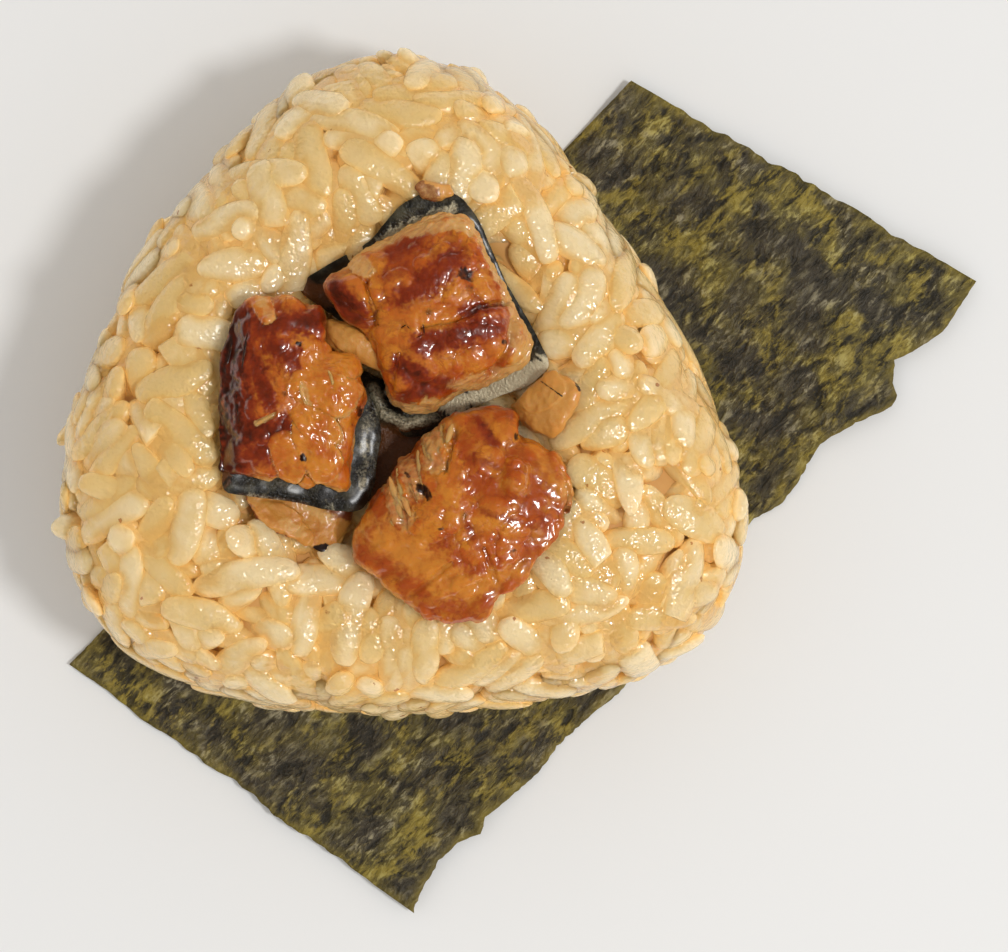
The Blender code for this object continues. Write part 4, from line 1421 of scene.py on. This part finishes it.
LEFT_FLAKES = [
    (-27.5, 16.5, -8, 7.4, 5.0, 0.9), (-28.5, 13.8, -22, 8.4, 5.6, 1.0), (-27.8, 11.0, -50, 7.2, 4.4, 0.9),
    (-27.6, 9.0, -62, 8.6, 4.6, 1.2), (-30.0, 7.5, -74, 6.6, 4.2, 0.8), (-25.0, 18.6, 10, 4.4, 3.0, 0.6),
    (-33.0, 24.4, -62, 4.4, 2.4, 0.8),
]
LEFT_SHREDS = [
    (-33.0, 8.1, -30.5, 9.5, 0.6, "pale"), (-27.4, 13.0, -26.5, 10.7, 0.6, "pale"),
    (-24.0, 14.8, -23.4, 13.0, 0.4, "pale"), (-34.0, 19.5, -34.6, 15.0, 0.3, "burnt"),
    (-35.3, 12.0, -34.8, 8.0, 0.3, "burnt"), (-36.0, 19.0, -36.6, 15.5, 0.35, "burnt"),
]
LEFT_SIDE_DROP = 3.6 * MM

centre, outline = CENTRES["eel_left"], OUTLINES["eel_left"]
points, faces, levels = pillow(
    centre, outline, narrower(outline, centre, 0.06), raised(left_bed, SKIN_THICKNESS), left_top, 4.0
)
sunk_side = smoothstep(-31.5 * MM, -38.5 * MM, points[:, 0]) * levels
points[:, 2] -= LEFT_SIDE_DROP * sunk_side**1.5
lifted, rims = flakes(points, LEFT_FLAKES)
upper = smoothstep(0.45, 0.85, levels)
pale = np.maximum(stroked(points, LEFT_PALE), rims * upper * 0.8)
bare = np.minimum(lifted / (0.3 * MM), 1) * upper
points = lift(points, faces, lifted * upper)
points, crests = glazed_relief(points, faces, levels, [], np.maximum(pale, bare * 0.75), 23, 190, 0.5)
unburnt_wall = (1 - levels) * smoothstep(-35 * MM, -31 * MM, points[:, 0])
marks = {
    "crest": np.maximum(crests, bare * 0.6), "wall": unburnt_wall, "pale": pale,
    "burnt": stroked(points, LEFT_BURNT, 0.6), "baked": stroked(points, LEFT_BAKED, 0.35, BAKED_FADE) * (1 - bare),
    "clear": bare * 0.6,
}
points, faces, marks = with_shreds(points, faces, marks, LEFT_SHREDS)
eel_piece("eel_left_fillet", "eel_left", points, faces, glaze, **marks)

# %% [markdown]
# ## The right fillet
#
# The largest fillet is a round mound. Its upper left slope is torn along the grain of the
# flesh into pale upright fibres, and there is one large blister in the glaze.

# %% Right fillet
RIGHT_BURNT = [
    (-12.6, 0.4, -11.7, -0.6, 0.7, 1), (-14.6, 2.2, -14.2, 1.8, 0.3, 0.9), (-4.8, 8.3, -4.3, 7.2, 0.6, 0.55),
    (-1.0, 6.9, -0.9, 6.5, 0.35, 0.9), (-10.4, -4.7, -9.9, -4.6, 0.2, 0.8), (-1.6, -7.4, -1.0, -7.3, 0.25, 0.7),
]
RIGHT_BAKED = [
    (-5.6, 8.7, -3.7, 5.8, 0.9, 0.7), (-6.3, 4.0, -3.4, 3.0, 1.0, 0.6), (-7.4, -3.6, -5.2, -7.2, 0.8, 0.65),
    (-5.2, -2.5, 0.9, -4.3, 0.7, 0.6), (-5.2, -6.5, -3.7, -9.7, 0.6, 0.45), (0.9, -1.4, 2.8, -4.3, 0.8, 0.45),
    (-0.1, 5.8, 2.8, 2.2, 0.9, 0.4), (-11.0, -2.5, -8.8, -4.3, 0.6, 0.35), (-14.6, -9.7, -12.4, -8.3, 0.5, 0.3),
]
RIGHT_PALE = [
    (-16.8, 1.1, -14.6, -3.6, 1.5, 1), (-14.6, 3.6, -13.2, 0.0, 1.5, 1), (-11.3, 7.2, -11.0, 3.6, 1.7, 1),
    (-9.2, 8.3, -8.8, 7.6, 1.0, 0.7), (-20.4, -5.1, -16.8, -3.6, 1.4, 0.5), (3.8, 3.4, 5.2, 0.2, 1.1, 0.55),
    (5.2, 0.0, 5.7, -3.0, 1.3, 0.75), (5.5, -3.0, 3.4, -8.0, 0.9, 0.5), (-18.2, -11.8, -9.9, -16.6, 0.7, 0.6),
]
RIGHT_CREASES = [
    (-14.0, -13.0, -9.0, -9.0, 0.4, 0.5), (-3.5, -11.0, -5.0, -7.0, 0.5, 0.6), (-8.5, 7.5, -9.5, 2.5, 0.5, 0.8),
]
RIGHT_LAYERS = [(-16.0, -8.0, -4.0, -14.5, 3.6, 1), (-10.0, -4.0, -2.0, -9.0, 2.0, 0.7)]
RIGHT_CLEAR = [
    (-17.0, -6.0, -9.0, -11.0, 3.2, 0.95), (1.5, 6.0, 5.0, 0.5, 1.5, 0.8), (-10.5, 1.0, -8.0, -3.0, 1.6, 0.6),
    (-7.0, -12.5, -2.0, -10.0, 2.0, 0.8), (-2.5, 1.0, -0.5, 0.5, 1.0, 0.5),
]
BUBBLE = [(-1.0, 1.0, -0.9, 2.4, 1.5, 1)]
BUBBLE_RISE = 0.9 * MM
FIBRE_RISE, FIBRE_WIDTH = 0.75 * MM, 1.0 * MM
LAYER_RISE, LAYER_WIDTH = 0.4 * MM, 1.1 * MM
RIGHT_FADE = (1.5, 0.1)
RIGHT_PALER = 0.13
RIGHT_FIBRES = [
    (-16.6, 1.8, -14.9, -4.0, 0.9), (-15.7, 2.9, -13.9, -3.2, 0.8), (-14.6, 4.0, -13.1, -1.4, 0.9),
    (-13.1, 5.1, -12.4, 0.7, 0.9), (-11.7, 7.2, -11.3, 3.6, 1.0), (-10.2, 8.3, -10.6, 4.7, 0.9),
    (-8.8, 8.3, -9.5, 5.8, 0.8), (-17.5, 0.4, -16.0, -4.3, 0.8), (-16.2, -0.6, -14.6, -2.4, 0.5),
    (-12.5, 6.0, -12.0, 4.2, 0.5), (-14.2, 1.0, -12.9, -0.6, 0.5),
]
RIGHT_SHREDS = [(*fibre, "pale") for fibre in RIGHT_FIBRES]

centre, outline = CENTRES["eel_right"], OUTLINES["eel_right"]
points, faces, levels = pillow(centre, outline, narrower(outline, centre, 0.03), right_bed, right_top, 3.2)
fibrous = stroked(points, RIGHT_PALE)
points = lift(points, faces, BUBBLE_RISE * stroked(points, BUBBLE, 0.0))
along_fibres = np.column_stack([points[:, 0] + 0.25 * points[:, 1], points[:, 1] * 0.2, points[:, 2] * 0.2])
points = lift(points, faces, fibrous * FIBRE_RISE * bumps(along_fibres, FIBRE_WIDTH, 6.0))
layered = np.column_stack([
    (points[:, 0] + 0.5 * points[:, 1]) * 0.2, points[:, 1] - 0.5 * points[:, 0], points[:, 2] * 0.3,
])
layer_mark = stroked(points, RIGHT_LAYERS, 0.2)
points = lift(points, faces, layer_mark * LAYER_RISE * bumps(layered, LAYER_WIDTH, 2.0))
points, crests = glazed_relief(points, faces, levels, RIGHT_CREASES, fibrous, 37, 100, 0.42)
marks = {
    "crest": crests, "wall": (1 - levels) * 0.8, "pale": fibrous * 0.8, "burnt": stroked(points, RIGHT_BURNT),
    "baked": stroked(points, RIGHT_BAKED, 0.35, RIGHT_FADE) - RIGHT_PALER,
    "clear": stroked(points, RIGHT_CLEAR, 0.35, (1.4, 0.2)),
}
points, faces, marks = with_shreds(points, faces, marks, RIGHT_SHREDS)
eel_piece("eel_right_fillet", "eel_right", points, faces, glaze, **marks)

# %% [markdown]
# ## The finish of bare flesh
#
# Flesh that got little glaze is a pale orange, moist and rather matt, with browned and
# charred edges. It needs fewer layers than the glaze and a thinner coat.

# %% Bare finish
def bare_finish():
    bare = Finish(
        "bare_flesh", Subsurface_Weight=0.45, Subsurface_Scale=0.9 * MM, Subsurface_Radius=(1.0, 0.5, 0.25),
        Coat_Weight=0.35, Coat_Roughness=0.18,
    )
    tan, orange, pale, brown, char = paints(
        (208, 146, 66), (218, 138, 50), (222, 178, 110), (128, 60, 18), (34, 17, 9)
    )
    cloud = bare.grain(1.8 * MM, detail=4.0, roughness=0.6)
    fine = bare.grain(0.5 * MM, detail=3.0)
    base = bare.blend(tan, orange, bare.step(bare.mark("warm", (cloud, 0.8)), 0.25, 0.8))
    base = bare.blend(base, brown, bare.step(bare.mark("baked", (cloud, 0.6)), 0.3, 0.9))
    base = bare.blend(base, pale, bare.step(bare.mark("pale", (fine, 0.7), (cloud, 0.6)), 0.2, 1.1))
    base = bare.blend(base, char, bare.step(bare.mark("burnt", (fine, 0.6)), 0.35, 0.75))
    bare.drive("Base Color", base)
    bare.drive("Roughness", 0.34 + fine * 0.2)
    bare.relief(fine + cloud, 0.12 * MM)
    return bare


bare_flesh = bare_finish()
print("bare flesh of", len(bare_flesh.tree.nodes), "nodes")

# %% [markdown]
# ## Bits of bare flesh
#
# Three small bits lie between the fillets and the rice. They are the same pillows as the
# fillets, but flatter, with flakes and fine wrinkles, and one carries a charred hair.

# %% Bits
BIT_SIDES, BIT_RINGS = 170, (8, 22, 34)
BITS = {
    "eel_strip": (raised(left_bed, SKIN_THICKNESS), strip_top, 0.1, [(-24.0, 20.6, -40, 8.6, 3.4, 0.5)]),
    "eel_under": (bare_bed, lambda plan: np.minimum(bit_top(plan), left_bed(plan) - LAYER_GAP), 0.4,
                  [(-33.5, -2.2, -20, 6.5, 3.6, 0.6), (-29.5, -3.6, -50, 4.2, 3.0, 0.8)]),
    "eel_flake": (bare_bed, bit_top, 0.35, [(-0.6, 10.6, 30, 6.4, 4.6, 0.4)]),
}
BIT_BURNT = [
    (-25.6, -7.6, -24.8, -7.5, 1.0, 1), (2.1, 13.6, 4.7, 11.7, 0.12, 0.75), (6.5, 13.2, 6.9, 12.5, 0.3, 0.7),
]
BIT_BAKED = [
    (-35.2, -1.1, -33.3, -4.8, 1.1, 1), (-33.3, -4.8, -29.6, -6.5, 0.9, 0.9), (-23.7, -1.9, -20.0, -3.4, 1.6, 0.8),
    (-31.5, -2.5, -25.0, -5.5, 2.2, 0.4),
]
BIT_PALE = [
    (-29.6, -4.1, -27.7, -5.2, 0.9, 0.75), (-27.0, -1.9, -24.4, -3.3, 0.9, 0.8), (-34.0, -1.1, -31.8, -1.9, 0.8, 0.4),
    (-0.5, 12.0, 5.0, 10.5, 2.8, 0.42),
]

for piece, (lower, upper, warmth, blades) in BITS.items():
    centre, outline = CENTRES[piece], OUTLINES[piece]
    crown = narrower(outline, centre, 0.1)
    points, faces, levels = pillow(centre, outline, crown, lower, upper, 3.0, BIT_SIDES, BIT_RINGS)
    lifted, rims = flakes(points, blades)
    points = lift(points, faces, lifted * smoothstep(0.4, 0.8, levels) + 0.45 * MM * bumps(points, 2.6 * MM, 3.0))
    points = lift(points, faces, 0.14 * MM * bumps(points, 0.8 * MM, 9.0))
    marks = {
        "warm": np.full(len(points), warmth), "baked": stroked(points, BIT_BAKED),
        "burnt": stroked(points, BIT_BURNT, 0.2),
        "pale": np.maximum(stroked(points, BIT_PALE) * 0.85, rims * 0.4),
    }
    if piece == "eel_strip":
        points, faces, marks = with_shreds(points, faces, marks, [(-21.8, 18.9, -22.1, 17.0, 0.14, "burnt")])
    eel_piece(piece + "_bit", piece, points, faces, bare_flesh, **marks)

# %% [markdown]
# ## A crumb
#
# A browned crumb of flesh lies apart, on the upper corner of the upper skin. It is too
# small for a solid, so it is a little pillow that rides with the fillet beside it.

# %% Crumb
CRUMB_SIDES, CRUMB_RINGS = 110, (6, 12, 18)
CRUMB_HEIGHT = 1.5 * MM
CRUMB = np.array([
    (-14.0, 37.4), (-12.6, 38.5), (-10.8, 38.0), (-9.0, 38.0), (-8.3, 36.6), (-10.0, 35.7), (-12.6, 36.0),
]) * MM
middle = CRUMB.mean(axis=0)
on_skin = raised(top_bed, SKIN_THICKNESS)
crown = narrower(CRUMB, middle, 0.2)
points, faces, levels = pillow(
    middle, CRUMB, crown, on_skin, raised(on_skin, CRUMB_HEIGHT), 3.0, CRUMB_SIDES, CRUMB_RINGS
)
points = lift(points, faces, 0.35 * MM * bumps(points, 1.3 * MM, 4.0))
eel_piece(
    "eel_corner_crumb", "eel_top", points, faces, bare_flesh, warm=np.full(len(points), 0.1),
    baked=stroked(points, [(-13.2, 37.6, -11.2, 36.6, 1.0, 1.0)]), burnt=0 * levels, pale=0.5 * levels,
)

# %% [markdown]
# ## The finish of skin
#
# Eel skin is a thin wet hide, black on the back and silver toward the belly. Strokes say
# where it is silver or brown; the silver is partly the skin's own and partly painted sheen,
# and noise breaks it up into painted glints. The silver is a little metallic too, so it
# changes more with the angle than the black does.

# %% Skin finish
def skin_finish():
    skin = Finish("wet_fish_skin", Coat_Weight=0.55, Coat_Roughness=0.24)
    black, slate, silver, brown = paints((25, 23, 17), (80, 75, 56), (224, 212, 176), (104, 60, 24))
    cloud = skin.grain(2.4 * MM, detail=5.0, roughness=0.65)
    glint = skin.grain(0.32 * MM, detail=2.0)
    base = skin.blend(black, slate, skin.step(cloud, 0.42, 0.7))
    base = skin.blend(base, brown, skin.step(skin.mark("brown", (cloud, 0.5)), 0.3, 0.8))
    # Painted sheen: the silver is partly the skin's own colour and partly painted sheen and glints.
    silver_and_sheen_mask = skin.mark("silver", (cloud, 1.5), (glint, 0.9))
    base = skin.blend(base, silver, skin.step(silver_and_sheen_mask, 0.35, 1.2) * 0.92)
    skin.drive("Base Color", base)
    skin.drive("Metallic", skin.step(silver_and_sheen_mask, 0.3, 0.95) * 0.2)
    skin.drive("Roughness", 0.24 + cloud * 0.2)
    skin.relief(glint + cloud, 0.26 * MM)
    return skin


wet_skin = skin_finish()
print("skin of", len(wet_skin.tree.nodes), "nodes")

# %% [markdown]
# ## Patches of skin
#
# Two patches lie under the fillets and show only round them. Each is a thin dense sheet on
# its bed, with a wavy free edge. A fold of the upper one hangs into the pit between the
# fillets, and that is a pillow of its own.

# %% Skins
SKIN_BEDS = {"eel_left_skin": left_bed, "eel_top_skin": top_bed}
SKIN_SILVER_AND_SHEEN = [
    (-19.0, 10.0, -19.6, 3.5, 1.2, 0.5), (-20.4, 2.0, -19.8, 0.4, 0.8, 0.8), (2.4, 14.8, -4.0, 12.6, 1.9, 1.7),
    (-4.0, 12.6, -9.0, 10.6, 1.5, 1.3), (-34.0, -1.0, -24.0, -1.6, 0.8, 0.6), (-17.5, 31.2, -9.0, 34.6, 1.2, 1.0),
]
SKIN_BROWN = [
    (-28.0, 25.0, -24.5, 24.0, 1.8, 0.9), (-38.0, 22.0, -38.6, 2.0, 2.2, 1.2), (-36.0, 0.2, -27.0, -1.6, 0.6, 0.55),
    (-6.0, 12.0, -12.0, 9.5, 0.8, 0.5),
]

PIT_FOLD = np.array([
    (-20.7, 15.4), (-17.0, 13.6), (-15.2, 11.4), (-12.4, 10.2), (-9.5, 9.4), (-9.5, 6.6), (-12.4, 3.8), (-14.6, 1.5),
    (-17.2, -1.4), (-19.9, -1.5), (-20.2, 3.0), (-19.9, 7.7), (-20.6, 11.0), (-21.5, 13.2),
]) * MM
PIT_MIDDLE = np.array([-16.9, 7.4]) * MM
FOLD_CREST = [
    (-18.8, 13.0, -17.6, 9.9, 1.0, 0.9), (-17.6, 9.9, -14.8, 8.4, 1.0, 1), (-14.8, 8.4, -11.1, 9.2, 1.0, 1),
    (-17.0, 12.5, -14.1, 10.8, 0.8, 0.7),
]
FOLD_THICKNESS = 1.2 * MM
FOLD_RISE = 1.9 * MM
FOLD_SIDES, FOLD_RINGS = 170, (14, 6, 34)
HIDE_SIDES, HIDE_RINGS = 230, (24, 8, 42)
EDGE_WAVE, EDGE_WAVE_LENGTH = 0.4 * MM, 3.2 * MM

fold_top = raised(bare_bed, FOLD_THICKNESS)
points, faces, levels = pillow(PIT_MIDDLE, PIT_FOLD, PIT_FOLD, bare_bed, fold_top, 5.0, FOLD_SIDES, FOLD_RINGS)
crest = stroked(points, FOLD_CREST, 0.1)
points[:, 2] += FOLD_RISE * stroked(points, FOLD_CREST, 0.1, (1.9, 0.0)) * levels
points = lift(points, faces, 0.12 * MM * bumps(points, 1.2 * MM, 7.0))
# Painted sheen: the fold's crest is made silver, partly silver skin and partly painted sheen.
eel_piece(
    "eel_pit_fold", "eel_top_skin", points, faces, wet_skin, silver=crest * 0.75,
    brown=smoothstep(11.0 * MM, 6.0 * MM, points[:, 1]) * 0.9,
)

for piece, lower in SKIN_BEDS.items():
    centre, outline = CENTRES[piece], OUTLINES[piece]
    if piece == "eel_left_skin":
        left_end = (-36.2 - 1.4 * smoothstep(6 * MM, 1 * MM, outline[:, 1])) * MM
        outline = np.column_stack([np.maximum(outline[:, 0], left_end), outline[:, 1]])
    else:
        right_side = smoothstep(-9 * MM, -2 * MM, outline[:, 0]) * smoothstep(14 * MM, 20 * MM, outline[:, 1])
        outline = outline - right_side[:, None] * np.array([0.52, 0.27]) * MM
    hide_top = raised(lower, SKIN_THICKNESS)
    points, faces, levels = pillow(centre, outline, outline, lower, hide_top, 7.0, HIDE_SIDES, HIDE_RINGS)
    toward_rim = np.hypot(*(points[:, :2] - centre).T) / (12 * MM)
    wave = bumps(on_ground(points[:, :2]), EDGE_WAVE_LENGTH, 5.0)
    points[:, 2] += EDGE_WAVE * wave * smoothstep(0.5, 1.0, toward_rim)
    points = lift(points, faces, 0.05 * MM * bumps(points, 0.7 * MM, 2.0))
    marks = {"silver": stroked(points, SKIN_SILVER_AND_SHEEN), "brown": stroked(points, SKIN_BROWN)}
    eel_piece(piece + "_hide", piece, points, faces, wet_skin, **marks)
